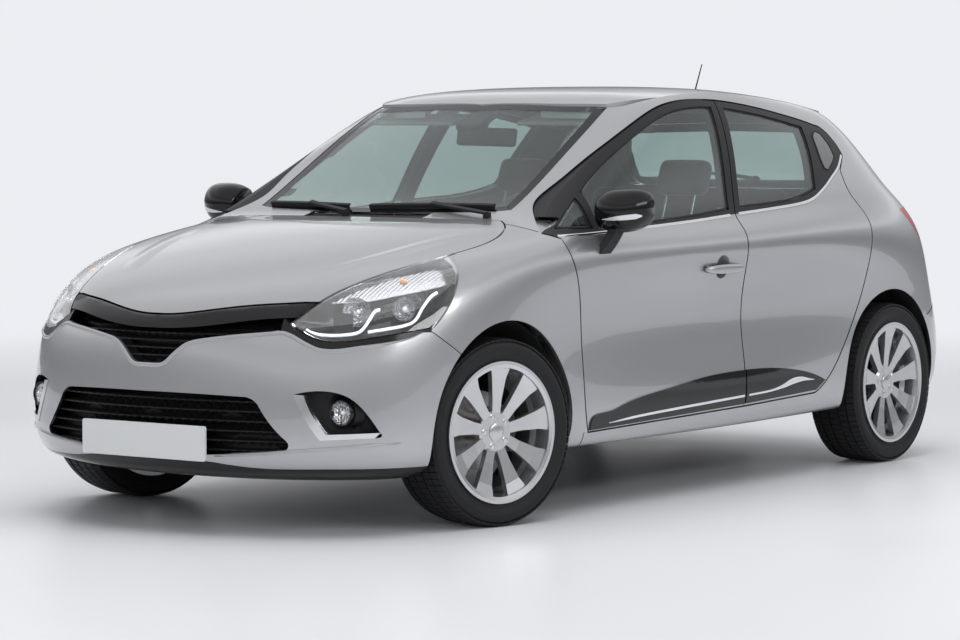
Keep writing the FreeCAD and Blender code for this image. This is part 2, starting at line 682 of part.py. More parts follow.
lower_opening_shares = [
    [(0, 0.3149), (0.2309, 0.3142), (0.4296, 0.3108)],
    [(0.4296, 0.3108), (0.4561, 0.3059), (0.4792, 0.2942)],
    [(0.4792, 0.2942), (0.5219, 0.2562), (0.5820, 0.2169)],
    [(0.5820, 0.2169), (0.5889, 0.2058), (0.5774, 0.1961)],
    [(0.5774, 0.1961), (0.2887, 0.1809), (0, 0.1740)],
]
fog_opening_shares = [
    [(0.6028, 0.3184), (0.6697, 0.3260), (0.7182, 0.3246), (0.7644, 0.3149), (0.8083, 0.2887),
        (0.8522, 0.2348)],
    [(0.8522, 0.2348), (0.8557, 0.2265), (0.8406, 0.2224)],
    [(0.8406, 0.2224), (0.6928, 0.2182)],
    [(0.6928, 0.2182), (0.6467, 0.2624), (0.6028, 0.3184)],
]
tailgate_shares = [
    [(0, 0.4130), (0.4850, 0.4130)],
    [(0.4850, 0.4130), (0.5600, 0.4227), (0.5912, 0.4558)],
    [(0.5912, 0.4558), (0.6051, 0.5525), (0.6120, 0.6630)],
    [(0.6120, 0.6630), (0.6928, 0.6975)],
    [(0.6928, 0.6975), (0.6952, 0.7597), (0.6755, 0.8287), (0.6420, 0.8909), (0.6005, 0.9296)],
    [(0.6005, 0.9296), (0.5958, 1.0359)],
    [(0.5958, 1.0359), (0, 1.0359)],
]
tail_recess_shares = [
    [(0, 0.4572), (0.2887, 0.4572)],
    [(0.2887, 0.4572), (0.3279, 0.4613), (0.3418, 0.4834)],
    [(0.3418, 0.4834), (0.3464, 0.5456)],
    [(0.3464, 0.5456), (0.3395, 0.5677), (0.3025, 0.5732)],
    [(0.3025, 0.5732), (0, 0.5787)],
]
rear_window_glass_shares = [
    [(0, 0.7224), (0.3464, 0.7238), (0.5658, 0.7293)],
    [(0.5658, 0.7293), (0.6293, 0.7362), (0.6420, 0.7597)],
    [(0.6420, 0.7597), (0.6236, 0.8218), (0.5774, 0.8805)],
    [(0.5774, 0.8805), (0.5427, 0.8964), (0.4850, 0.9006)],
    [(0.4850, 0.9006), (0.2309, 0.9054), (0, 0.9075)],
]
tail_lamp_shares = [
    [(1.0448, 0.5767), (0.8756, 0.5815), (0.8458, 0.5939)],
    [(0.8458, 0.5939), (0.8234, 0.6215), (0.7960, 0.6561), (0.7836, 0.6733)],
    [(0.7836, 0.6733), (0.8159, 0.6768), (0.8756, 0.6802), (1.0448, 0.6802)],
    [(1.0448, 0.6802), (1.0448, 0.5767)],
]

door_tip_shares = [
    [(-0.4274, 0.6250), (-0.3582, 0.6250)],
    [(-0.3582, 0.6250), (-0.3582, 0.6906)],
    [(-0.3582, 0.6906), (-0.3831, 0.6837)],
    [(-0.3831, 0.6837), (-0.4274, 0.6547)],
    [(-0.4274, 0.6547), (-0.4274, 0.6250)],
]

leaf_height_shares = [0.29, 0.47]
handle_place_shares = (0.0710, 0.5480)
handle_bar_shares = (0.0170, 0.1370)
handle_skin_share = 0.9790

front_door = in_sizes(front_door_shares, "x")
# The front door without its thin tip, for the pieces that lie deeper.
tip_end = front_door[2][1]
core_back = front_door[3][:1] + front_door[3][2:]
front_door_core = [front_door[0], [front_door[0][-1], tip_end], front_door[2][1:], core_back, front_door[4]]
rear_door = in_sizes(rear_door_shares, "x")
front_window = in_sizes(front_window_shares, "x")
front_light = in_sizes(front_light_shares, "x")
rear_window = in_sizes(rear_window_shares, "x")
side_region = in_sizes(side_region_shares, "x")


# Bonnet, wings and lamps at the front

bonnet_half = in_sizes([
    [(0, -1.0448), (0.5219, -1.0448)],
    [(0.5219, -1.0448), (0.5219, -0.9204)],
    bonnet_edge_shares,
    bonnet_rear_shares,
], "z")
bonnet_loop = symmetric(bonnet_half)
nose_half = in_sizes([bonnet_nose_shares, [(0.5485, 0.5159), (1.0393, 0.5159)],
    [(1.0393, 0.5159), (1.0393, 0)], [(1.0393, 0), (0, 0)]], "y")
nose_loop = symmetric(nose_half[:3] + [[nose_half[3][0], nose_half[3][1]]])


def front_block(loop, start=-1.05, end=-0.6):
    return block(loop, "y", start * half_length, end * half_length)


bonnet_block = block(bonnet_loop, "z", 0, height)
nose_block = front_block(nose_loop)
bonnet = whole(shell_layer.common(bonnet_block).cut(nose_block))
save(bonnet, "bonnet")

bonnet_room = block(grown(bonnet_loop, shut_gap), "z", height * 0.3, height)
front_door_room = side_block(grown(front_door, shut_gap))
rear_door_room = side_block(grown(rear_door, shut_gap))


def arch(place, radius, start, end):
    return Part.makeCylinder(radius, end - start, V(start, place, tyre_radius), V(1, 0, 0))


arch_start = half_width * 0.5
front_arch = arch(front_arch_place, arch_radius, arch_start, half_width * 1.2)
rear_arch = arch(rear_arch_place, arch_radius, arch_start, half_width * 1.2)

wing_region = in_sizes([
    wing_front_shares[0],
    wing_front_shares[1],
    wing_front_shares[2],
    [(-0.6965, 0.3867), (-0.5871, 0.2279)],
    [(-0.5871, 0.2279), (-0.4478, 0.1036)],
    [(-0.4478, 0.1036), (-0.3662, 0.1036)],
    [(-0.3662, 0.1036), (-0.3662, 0.1892)],
    [(-0.3662, 0.1892), (-0.2985, 0.1892)],
    [(-0.2985, 0.1892), (-0.2985, 0.6457)],
    [(-0.2985, 0.6457), (-0.4299, 0.6547)],
    [(-0.4299, 0.6547), (-0.4299, 0.8978)],
    [(-0.4299, 0.8978), (-0.6279, 0.8978)],
    [(-0.6279, 0.8978), (-0.6279, 0.6561)],
], "x")
wing = shell_layer.common(side_block(wing_region,
    0.4)).cut(bonnet_room).cut(front_door_room).cut(front_arch)
# A ledge under the bonnet's edge, which the closed bonnet rests over.
ledge_ring = block(grown(bonnet_loop, flange_width), "z", height * 0.3,
    height).common(side_block(wing_region, 0.4))
ledge_ring = ledge_ring.cut(block(grown(bonnet_loop, -rebate_width), "z", height * 0.3, height))
ledge_sheet = layer(skin_thickness - 1,
    skin_thickness + ledge_thickness).cut(layer(0, skin_thickness + seal_room).common(bonnet_room))
wing = wing.fuse(ledge_sheet.common(ledge_ring).cut(front_door_room).cut(front_arch))
wing_left = whole(wing)
save(both(wing_left), "wings")

# Front bumper, with its openings
wing_front_room = side_block(grown(wing_region, shut_gap * 0.5), 0.4)
front_zone = box(-half_width * 1.1, half_width * 1.1, -half_length * 1.1, -half_length * 0.68, 0,
    height * 0.51)
lamp_half = in_sizes([
    lamp_bottom_shares,
    [(1.0162, 0.4765), (1.0162, 0.6630)],
    [(1.0162, 0.6630), (0.5081, 0.6630)],
    [(0.5081, 0.6630), (0.5081, 0.4876)],
    [(0.5081, 0.4876), (0.5254, 0.4793)],
], "y")
lamp_block = front_block(lamp_half)
lamp_room = front_block(grown(lamp_half, shut_gap * 0.5))
upper_half = in_sizes(upper_opening_shares + [[(0.5219, 0.4558), (0.5173, 0.4765)],
    [(0.5173, 0.4765), (0.5173, 0.5387)], [(0.5173, 0.5387), (0, 0.5387)]], "y")
lower_half = in_sizes(lower_opening_shares, "y")
fog_loop = in_sizes(fog_opening_shares, "y")
bumper = shell_layer.common(front_zone)
above_nose = front_block(in_sizes([[(-1.0393, 0.4834), (1.0393, 0.4834)],
    [(1.0393, 0.4834), (1.0393, 0.6906)], [(1.0393, 0.6906), (-1.0393, 0.6906)],
    [(-1.0393, 0.6906), (-1.0393, 0.4834)]], "y"))
bumper = bumper.cut(above_nose)
for room in (wing_front_room, lamp_room, front_arch):
    bumper = bumper.cut(room).cut(mirrored(room))
bumper = bumper.cut(front_block(symmetric(upper_half))).cut(front_block(symmetric(lower_half)))
fog_block = front_block(fog_loop)
bumper = bumper.cut(fog_block).cut(mirrored(fog_block))
front_bumper = whole(bumper)
save(front_bumper, "front_bumper")

# Roof
roof_across_shares = [-0.70, -0.56, -0.36, -0.16, 0.16, 0.36, 0.56, 0.70]
roof_drop_shares = [-0.0300, -0.0095, -0.0025, 0, 0, -0.0025, -0.0095, -0.0300]
roof_along_shares = [
    (-0.0995, 0.9406), (-0.0299, 0.9814), (0.0697, 0.9952), (0.1990, 1.0021), (0.3483, 1.0028), (0.4876,
        0.9924), (0.6219, 0.9731), (0.7562, 0.9434),
]
roof_rows = [
    [V(x * half_width, y * half_length, (z + drop) * height) for x,
        drop in zip(roof_across_shares, roof_drop_shares)]
    for y, z in roof_along_shares
]
roof_low = [[p - V(0, 0, roof_thickness) for p in row] for row in roof_rows]
roof_sheet = thick_sheet(roof_rows, roof_low)
roof_half = in_sizes([
    [(0, -0.0756), (0.3464, -0.0672), (0.5404, -0.0498), (0.5797, -0.0418)],
    [(0.5797, -0.0418), (0.6189, -0.0100), (0.6420, 0.0299), (0.6536, 0.0896), (0.6524, 0.1990),
        (0.6420, 0.3234), (0.6270, 0.4478), (0.6120, 0.5522),
     (0.5935, 0.6468), (0.5831, 0.7065)],
    [(0.5831, 0.7065), (0.4619, 0.7144), (0.2309, 0.7214), (0, 0.7239)],
], "z")
roof_loop = symmetric(roof_half)
roof_panel = whole(roof_sheet.common(block(roof_loop, "z", 0, height * 1.1)))
roof_room = block(grown(roof_loop, shut_gap), "z", 0, height * 1.2)
roof_above = [[p + V(0, 0, roof_thickness * 2) for p in row] for row in roof_rows]
roof_below = [[p - V(0, 0, roof_thickness + seal_room) for p in row] for row in roof_rows]
roof_ledge_room = thick_sheet(roof_above, roof_below).common(roof_room)
hinge_limit = block(grown(roof_loop, shut_gap - seal_room), "z", 0, height * 1.2)
tail_hinges = []
for x in tail_hinge_shares:
    place = x * half_width
    plate = box(place, place + tail_hinge_width, roof_half[2][2][1] - tail_hinge_width,
        roof_half[2][2][1] + tail_hinge_width,
                tail_hinge_height - tail_hinge_width, tail_hinge_height)
    tail_hinges.append(plate.common(hinge_limit))
roof_panel = whole(roof_panel.fuse(tail_hinges))
save(roof_panel, "roof_panel")


# Doors
def moved_along(points, shift):
    return [(a + shift, b) for a, b in points]


pillar_line = front_door[3]
pillar_top = (pillar_line[0][0], pillar_line[0][1] + rebate_room)
pillar_band = [
    moved_along(pillar_line, pillar_half_width),
    [(pillar_line[-1][0] + pillar_half_width, pillar_line[-1][1]),
        (pillar_line[-1][0] - pillar_half_width, pillar_line[-1][1])],
    moved_along(pillar_line, -pillar_half_width)[::-1],
    [(pillar_line[0][0] - pillar_half_width, pillar_line[0][1]),
        (pillar_line[0][0] + pillar_half_width, pillar_line[0][1])],
]
pillar_block = side_block(pillar_band)
pillar_room = side_block(grown(pillar_band, shut_gap * 2.4))
front_window_block = side_block(front_window)
front_light_block = side_block(front_light)
rear_window_block = side_block(rear_window)


def door(loop, core, windows):
    outline = side_block(loop)
    inner = side_block(grown(core, -flange_width)).cut(pillar_room)
    rim = side_block(grown(loop, shut_gap)).cut(inner)
    solid = wall_layer.common(outline).cut(behind_flange.common(rim))
    solid = solid.cut(roof_room)
    for window in windows:
        solid = solid.cut(window)
    return whole(solid)


def with_handle(solid):
    # A round cup pressed into the door, and a bar that bridges it.
    y, z = handle_place_shares[0] * half_length, handle_place_shares[1] * height
    skin = handle_skin_share * half_width
    cup = Part.makeSphere(handle_cup_radius, V(skin + handle_cup_radius - handle_cup_depth, y, z))
    solid = solid.cut(cup)
    path = [V(skin, (handle_bar_shares[0]) * half_length, z),
            V(skin + handle_proud * 0.45, (handle_bar_shares[0] + 0.006) * half_length, z),
            V(skin + handle_proud * 0.72, (handle_bar_shares[0] + 0.030) * half_length, z),
            V(skin + handle_proud * 0.80, (handle_bar_shares[0] + handle_bar_shares[1]) / 2 * half_length,
                z),
            V(skin + handle_proud * 0.66, (handle_bar_shares[1] - 0.030) * half_length, z),
            V(skin + handle_proud * 0.40, (handle_bar_shares[1] - 0.006) * half_length, z),
            V(skin, handle_bar_shares[1] * half_length, z)]
    curve = Part.BSplineCurve()
    curve.interpolate(path)
    inner = [p - V(handle_thickness, 0, 0) for p in path]
    back = Part.BSplineCurve()
    back.interpolate([inner[-1]] + inner[-2:0:-1] + [inner[0]])
    edges = [curve.toShape(), Part.LineSegment(path[-1], inner[-1]).toShape(), back.toShape(),
        Part.LineSegment(inner[0], path[0]).toShape()]
    bar = Part.Face(Part.Wire(edges)).extrude(V(0, 0, handle_thickness * 2))
    bar.translate(V(0, 0, -handle_thickness))
    return whole(solid.fuse(bar))


door_front_left = door(front_door, front_door_core, [front_window_block, front_light_block])
# The frame's foot is thinner at its tip, so it swings clear of the pillar
swing_room_shares = [(0.720, 0.866), (-0.432, -0.362), (0.636, 0.688)]
swing_room = share_box(swing_room_shares)
door_front_left = with_handle(whole(door_front_left.cut(swing_room)))
door_rear_left = door(rear_door, rear_door, [rear_window_block])
save(door_front_left, "door_front_left")
save(mirrored(door_front_left), "door_front_right")
save(door_rear_left, "door_rear_left")
save(mirrored(door_rear_left), "door_rear_right")


def side_glass(loops):
    panes = [whole(side_glazing_layer.common(side_block(grown(loop, -seal_room)))) for loop in loops]
    return Part.makeCompound(panes) if len(panes) > 1 else panes[0]


glass_front_left = side_glass([front_window, front_light])
glass_rear_left = side_glass([rear_window])
save(glass_front_left, "door_glass_front_left")
save(mirrored(glass_front_left), "door_glass_front_right")
save(glass_rear_left, "door_glass_rear_left")
save(mirrored(glass_rear_left), "door_glass_rear_right")

# Windscreen and tailgate
screen_half = in_sizes(screen_shares, "z")
screen_loop = symmetric(screen_half)
screen_zone = box(-half_width, half_width, -half_length, half_length * 0.1, height * 0.6, height)
screen_block = block(screen_loop, "z", height * 0.6, height)
windscreen = whole(glazing_layer.common(block(grown(screen_loop, -seal_room), "z", height * 0.6, height)))
save(windscreen, "windscreen")

tailgate_half = in_sizes(tailgate_shares, "y")
tailgate_loop = symmetric(tailgate_half)
rear_start = half_length * 0.55
rear_end = half_length * 1.05
tail_block = block(tailgate_loop, "y", rear_start, rear_end)
tail_room = block(grown(tailgate_loop, shut_gap), "y", rear_start, rear_end)
rear_glass_half = in_sizes(rear_window_glass_shares, "y")
rear_glass_loop = symmetric(rear_glass_half)
tailgate = wall_layer.common(tail_block).cut(roof_room).cut(block(rear_glass_loop, "y", rear_start,
    rear_end))
plate_recess = block(symmetric(in_sizes(tail_recess_shares, "y")), "y", rear_start, rear_end)
tailgate = whole(tailgate.cut(layer(-seal_room, recess_depth).common(plate_recess)))
save(tailgate, "tailgate")
tailgate_glass = whole(glazing_layer.common(block(grown(rear_glass_loop, -seal_room), "y", rear_start,
    rear_end)))
save(tailgate_glass, "tailgate_glass")

# Body sides
lamp_loop = in_sizes(tail_lamp_shares, "x")
tail_lamp_zone = box(half_width * 0.5, half_width * 1.1, half_length * 0.7, half_length * 1.1, 0, height)
tail_lamp_block = side_block(lamp_loop, 0.5).common(tail_lamp_zone)
tail_lamp_room = side_block(grown(lamp_loop, seal_room), 0.5).common(tail_lamp_zone)
wing_zone = in_sizes([
    [(-0.4478, 0.1036), (-0.2985, 0.1036)],
    [(-0.2985, 0.1036), (-0.2985, 0.6457)],
    [(-0.2985, 0.6457), (-0.4269, 0.6561)],
    [(-0.4269, 0.6561), (-0.4478, 0.6575)],
    [(-0.4478, 0.6575), (-0.4478, 0.1036)],
], "x")
post_region = in_sizes([
    [(-0.4129, 0.1899), (-0.2985, 0.1899)],
    [(-0.2985, 0.1899), (-0.2985, 0.6388)],
    [(-0.2985, 0.6388), (-0.4129, 0.6388)],
    [(-0.4129, 0.6388), (-0.4129, 0.1899)],
], "x")
wing_zone_block = side_block(wing_zone, 0.3)
front_inner = side_block(grown(front_door_core, -rebate_width)).cut(pillar_block)
rear_inner = side_block(grown(rear_door, -rebate_width)).cut(pillar_block)
tip_room = side_block(in_sizes(door_tip_shares, "x"), 0.85)
side_block_region = side_block(side_region, 0)
side = wall_layer.common(side_block_region)
post = wall_layer.common(side_block(post_region)).cut(rebate_layer)
side = side.fuse(post.cut(side_block_region))
side = side.cut(rebate_layer.common(front_door_room)).cut(rebate_layer.common(rear_door_room))
side = side.cut(front_inner).cut(rear_inner).cut(tip_room)
side = side.cut(block(grown(screen_loop, seal_room), "z", height * 0.6, height * 1.1))
side = side.cut(roof_ledge_room)
side = side.cut(bonnet_room).cut(tail_room).cut(rear_arch).cut(tail_lamp_room.common(rebate_layer))
side = side.common(box(half_width * 0.3, half_width * 1.1, -half_length * 0.5, half_length * 1.1, 0,
    height * 1.1))
front_leaf = box(leaf_start, leaf_end, -half_length * 0.385, -half_length * 0.34, -leaf_height / 2,
    leaf_height / 2)
rear_leaf = box(leaf_start, leaf_end, half_length * 0.15, half_length * 0.19, -leaf_height / 2,
    leaf_height / 2)
leaf_heights = [height * share for share in leaf_height_shares]
front_leaf_limit = side_block(grown(front_door_core, seal_room - flange_width))
rear_leaf_limit = side_block(grown(pillar_band, shut_gap * 2.4 - seal_room))
for z in leaf_heights:
    one = front_leaf.translated(V(0, 0, z)).cut(front_leaf_limit)
    two = rear_leaf.translated(V(0, 0, z)).common(rear_leaf_limit)
    side = side.fuse([one, two])
bodyside_left = whole(side.cut(wing_left))
save(bodyside_left, "bodyside_left")
save(mirrored(bodyside_left), "bodyside_right")

tail_lamp_left = whole(shell_layer.common(tail_lamp_block).cut(tail_room))
save(both(tail_lamp_left), "tail_lamps")

# Rear bumper
bumper_zone = in_sizes([
    [(1.0448, 0.4157), (0.9204, 0.4185)],
    [(0.9204, 0.4185), (0.8378, 0.3826)],
    [(0.8378, 0.3826), (0.8378, 0.0691)],
    [(0.8378, 0.0691), (1.0448, 0.0691)],
    [(1.0448, 0.0691), (1.0448, 0.4157)],
], "x")
rear_bumper = shell_layer.common(block(bumper_zone, "x", -half_width * 1.1, half_width * 1.1))
rear_bumper = rear_bumper.cut(block(grown(tailgate_loop, shut_gap), "y", rear_start, rear_end))
rear_bumper = rear_bumper.cut(rear_arch).cut(mirrored(rear_arch))
save(whole(rear_bumper), "rear_bumper")

# Wheels
def turned(points, spare=None):
    # A ring about the wheel's axis, from a closed outline of (along, radius).
    spots = [V(a, 0, r) for a, r in points]
    wire = Part.makePolygon(spots + spots[:1])
    return Part.Face(wire).revolve(V(0, 0, 0), V(1, 0, 0), 360)


tyre_section_shares = [
    (0, 1.000), (0.32, 0.999), (0.40, 0.994), (0.452, 0.976), (0.485, 0.935), (0.500, 0.870), (0.486,
        0.795),
    (0.452, 0.762), (0.444, 0.755), (0.444, 0.705), (0.340, 0.705), (0.340, 0.725), (0.420, 0.790), (0.445,
        0.865),
    (0.435, 0.920), (0.375, 0.958), (0, 0.966),
]
tyre_half = [(a * tyre_width, r * tyre_radius) for a, r in tyre_section_shares]
tyre = turned(tyre_half + [(-a, r) for a, r in reversed(tyre_half)][1:-1])

bead_radius = tyre_radius * 0.705 - 0.3
rim_half = rim_width / 2
rim_section_shares = [
    (1.05, 1.00), (1.05, 0.955), (1.02, 0.905), (0.80, 0.885), (0.45, 0.865), (0.25, 0.825), (-0.40, 0.82),
    (-0.70, 0.88), (-1.00, 0.89), (-1.03, 1.00), (-0.985, 1.00), (-0.975, 0.93),
]
barrel = [(a * rim_half, r * rim_radius) for a, r in rim_section_shares]
barrel += [(-rim_half * 0.65, bead_radius), (-rim_half * 0.35, rim_radius * 0.855),
    (rim_half * 0.25, rim_radius * 0.865),
           (rim_half * 0.5, bead_radius), (rim_half * 0.975, bead_radius), (rim_half * 0.985, rim_radius)]
rim = turned(barrel)
spoke_shares = [(0.20, 0.070), (0.45, 0.085), (0.75, 0.130), (0.905, 0.180)]
face_shares = [(0.20, 0.70), (0.45, 0.76), (0.75, 0.86), (0.905, 0.955)]
spoke_thickness = 20.0
spoke_outline = [V(0, -w * rim_radius, r * rim_radius) for r, w in spoke_shares]
spoke_outline += [V(0, w * rim_radius, r * rim_radius) for r, w in reversed(spoke_shares)]
spoke_plan = Part.Face(Part.makePolygon(spoke_outline + spoke_outline[:1])).extrude(V(rim_width, 0, 0))
side_places = [V(a * rim_half, 0, r * rim_radius) for r, a in face_shares]
side_places += [p - V(spoke_thickness, 0, 0) for p in reversed(side_places)]
spoke_side = Part.Face(Part.makePolygon(side_places + side_places[:1])).extrude(V(0, rim_radius, 0))
spoke_side.translate(V(0, -rim_radius / 2, 0))
spoke = spoke_plan.common(spoke_side)
hub_front = rim_half * 0.72
hub_back = rim_half * 0.30
hub = turned([(hub_back, 0), (hub_back, hub_radius), (hub_front - 6, hub_radius),
    (hub_front, hub_radius - 8), (hub_front, 0)])
spokes = []
for i in range(spoke_count):
    one = spoke.copy()
    one.rotate(V(0, 0, 0), V(1, 0, 0), 360.0 / spoke_count * i)
    spokes.append(one)
rim = whole(rim.fuse(spokes + [hub]))

disc_front = -disc_thickness
disc = turned([
    (disc_front - disc_thickness, hub_radius * 0.45), (disc_front - disc_thickness,
        disc_radius), (disc_front, disc_radius),
    (disc_front, hub_radius), (hub_back - 0.3, hub_radius), (hub_back - 0.3, hub_radius * 0.45),
])

corners = {
    "front_left": (half_track, front_axle_place, 1, rest_steer_angle),
    "front_right": (-half_track, front_axle_place, -1, rest_steer_angle),
    "rear_left": (half_track, rear_axle_place, 1, 0),
    "rear_right": (-half_track, rear_axle_place, -1, 0),
}


def at_corner(shape, corner):
    x, y, side, angle = corners[corner]
    copy = shape.copy() if side > 0 else mirrored(shape)
    copy.translate(V(x, y, tyre_radius))
    if angle:
        copy.rotate(V(side * (half_track - kingpin_inset), y, tyre_radius), V(0, 0, 1), angle)
    return copy


# The knuckle carries the disc's brake, behind the axle line
carrier_end = disc_front - disc_thickness - hole_room
caliper_front = disc_front + disc_thickness + hole_room * 2
caliper_root = disc_radius * 0.62
caliper_top = disc_radius * 1.14
caliper_slot = disc_radius * 1.03
knuckle = turned([
    (carrier_end - knuckle_length, 0),
    (carrier_end - knuckle_length, knuckle_radius),
    (carrier_end, knuckle_radius * 1.14),
    (carrier_end, 0),
])
stem_back = carrier_end - knuckle_length * 0.935
stem = box(stem_back, stem_back + knuckle_radius * 0.857, -stem_half, stem_half, -stem_drop, stem_rise)
bracket = box(carrier_end - knuckle_radius * 0.95, carrier_end - knuckle_radius * 0.19,
    knuckle_radius * 0.95,
              disc_radius * 1.154, -stem_half * 1.07, stem_half * 1.07)
caliper = turned([
    (carrier_end - caliper_thickness, caliper_root),
    (carrier_end - caliper_thickness, caliper_top),
    (caliper_front, caliper_top),
    (caliper_front, caliper_root),
    (disc_front + caliper_room, caliper_root),
    (disc_front + caliper_room, caliper_slot),
    (carrier_end - caliper_room, caliper_slot),
    (carrier_end - caliper_room, caliper_root),
])
wedge = box(-rim_width, rim_width, disc_radius * 0.3, disc_radius * 1.3, -caliper_half, caliper_half)
knuckle = whole(knuckle.fuse([stem, bracket, caliper.common(wedge)]))

for corner in corners:
    save(at_corner(tyre, corner), "tyre_" + corner)
    save(at_corner(rim, corner), "rim_" + corner)
    if corner.startswith("front"):
        save(at_corner(disc, corner), "brake_disc_" + corner)
save(at_corner(knuckle, "front_left"), "knuckle_left")
save(at_corner(knuckle, "front_right"), "knuckle_right")

# Floor, bulkhead and the boot floor
floor_half = half_width * 0.83
floor_end = rear_axle_place - floor_lead
floor_top = floor_height + floor_thickness
boot_under = boot_floor_height - floor_thickness
boot_end = half_length * 0.93
tunnel_top = floor_height + tunnel_height
rail_inner = rail_place - rail_width
spring_foot = strut_foot + strut_length - spring_lap
spring_place = strut_place - strut_lean_share * (spring_foot - strut_foot)
tower_height = spring_foot + spring_height
floor = box(-floor_half, floor_half, bulkhead_place, floor_end, floor_height, floor_top)
tunnel = box(-tunnel_half, tunnel_half, bulkhead_place, floor_end, floor_height, tunnel_top)
tunnel_room_half = tunnel_half - tunnel_wall
tunnel_room = box(-tunnel_room_half, tunnel_room_half, bulkhead_place - tunnel_half,
    floor_end - floor_thickness, 0, tunnel_top - tunnel_wall)
bulkhead = box(-floor_half, floor_half, bulkhead_place, bulkhead_place + floor_thickness, floor_height,
    bulkhead_height)
step = box(-floor_half, floor_half, floor_end - floor_thickness, floor_end, floor_height, boot_floor_height)
boot = box(-floor_half, floor_half, floor_end - floor_thickness, boot_end, boot_under, boot_floor_height)
front_rail = box(rail_inner, rail_place, half_length * -0.90, bulkhead_place + lap, rail_height,
    rail_height + rail_depth)
rear_rail = box(rail_inner, rail_place, floor_end - lap, boot_end, rear_rail_height, boot_under + hole_room)
tower = box(spring_place - tower_half, spring_place + tower_half, front_axle_place - tower_half,
    front_axle_place + tower_half,
            tower_height + seal_room, tower_height + tower_thickness)
link_start = front_axle_place + tower_half - lap * 0.5
tower_link = box(spring_place - tower_half + lap, spring_place - lap, link_start, bulkhead_place + lap,
                 tower_height - tower_thickness, tower_height + tower_thickness)
jack_pads = []
for y in (-jack_lead, jack_lead):
    jack_pads.append(box(jack_place - jack_half, jack_place + jack_half, y - jack_half, y + jack_half,
        floor_height - jack_thickness, floor_top))
left_pieces = [tower, tower_link, front_rail, rear_rail] + jack_pads
platform = floor.fuse([tunnel, bulkhead, step, boot] + left_pieces + [mirrored(one) for one in left_pieces])
platform = platform.cut(tunnel_room)
hole_radius = arch_radius + liner_thickness + hole_room
rear_liner_hole = arch(rear_arch_place, hole_radius, rear_liner_start - liner_thickness - hole_room,
    half_width)
front_liner_hole = arch(front_arch_place, hole_radius, front_liner_start - liner_thickness - hole_room,
    half_width)
for hole in (rear_liner_hole, front_liner_hole):
    platform = platform.cut(hole).cut(mirrored(hole))
platform = platform.cut(bodyside_left).cut(mirrored(bodyside_left))
save(whole(platform), "platform")


# Wheel arch liners
def liner(place, start):
    end = half_width * 0.93
    outer = arch(place, arch_radius + liner_thickness, start - liner_thickness, end)
    inner = arch(place, arch_radius, start, end + rail_width)
    low_reach = arch_radius * 1.2
    low = box(0, half_width * 1.2, place - low_reach, place + low_reach, -arch_radius, floor_height + lap)
    return outer.cut(inner).cut(low)


strut_way = V(-strut_lean_share, 0, 1)
strut_start = V(strut_place, front_axle_place, strut_foot)
strut_hole = Part.makeCylinder(strut_radius * 1.36, strut_length * 1.09, strut_start, strut_way)
arm_room = lap * 2
arm_top = trailing_bottom + trailing_depth
axle_hole = box(rear_liner_start - arm_room, rear_liner_start + arm_room * 4, floor_end + arm_room,
                rear_axle_place + trailing_end + lap, 0, arm_top + arm_room)
front_liner = liner(front_arch_place,
    front_liner_start).cut(strut_hole).cut(wing_left).cut(front_bumper).cut(bodyside_left)
rear_liner = liner(rear_arch_place, rear_liner_start).cut(axle_hole).cut(bodyside_left).cut(rear_bumper)
liners = [whole(front_liner), whole(rear_liner)]
save(Part.makeCompound(liners + [mirrored(one) for one in liners]), "arch_liners")

# Engine, cooling pack and crash beam
engine_front = front_axle_place - engine_lead
engine_left = engine_width * 0.44
engine_right = engine_left - engine_width
mount_bottom = rail_height + lap
engine_block = box(engine_right, engine_left, engine_front, engine_front + engine_length, engine_bottom,
    engine_bottom + engine_height)
mount_front = engine_front + engine_length * 0.43
mount_sides = [(-rail_inner + seal_room, engine_right + lap), (engine_left - lap, rail_inner - seal_room)]
engine_mounts = []
for start, end in mount_sides:
    engine_mounts.append(box(start, end, mount_front, mount_front + rail_width, mount_bottom,
        mount_bottom + rail_width))
engine_block = whole(engine_block.fuse(engine_mounts))
save(engine_block, "engine_block")
cooling_front = -half_length * 0.903
beam_front = cooling_front + beam_thickness * 0.4
cooling_pack = box(-cooling_half, cooling_half, cooling_front, cooling_front + cooling_thickness,
    cooling_bottom, cooling_bottom + cooling_height)
crash_beam = box(-beam_half, beam_half, beam_front, beam_front + beam_thickness, rail_height,
    rail_height + beam_depth)
save(whole(cooling_pack.fuse(crash_beam).cut(front_rail).cut(mirrored(front_rail))), "cooling_pack")

# Suspension
cross_front = front_axle_place + cross_lead
cross_top = cross_bottom + cross_depth
arm_root = cross_half - rail_width * 0.667
cross_member = box(-cross_half, cross_half, cross_front, cross_front + cross_length, cross_bottom,
    cross_top)
hanger_front = cross_front + lap
hanger_leg = box(arm_root, cross_half, hanger_front, hanger_front + lap * 4, cross_top - lap * 0.5,
    rail_height - seal_room)
ball_front = front_axle_place - ball_radius
ball_back = front_axle_place + ball_radius
arm_front = cross_front - lap * 3
arm_back = cross_front + cross_length - lap
arm_corners = [(arm_root, arm_front), (ball_place, ball_front),
    (ball_place + ball_radius, front_axle_place), (ball_place, ball_back), (arm_root, arm_back)]
arm_sides = [[arm_corners[i - 1], arm_corners[i]] for i in range(len(arm_corners))]
arm = block(arm_sides, "z", cross_bottom - arm_thickness * 0.22, cross_bottom + arm_thickness * 0.78)
strut = Part.makeCylinder(strut_radius, strut_length, strut_start, strut_way)
spring = Part.makeCylinder(spring_radius, spring_height, V(spring_place, front_axle_place, spring_foot),
    V(0, 0, 1))
suspension = cross_member.fuse([arm, mirrored(arm), hanger_leg, mirrored(hanger_leg)])

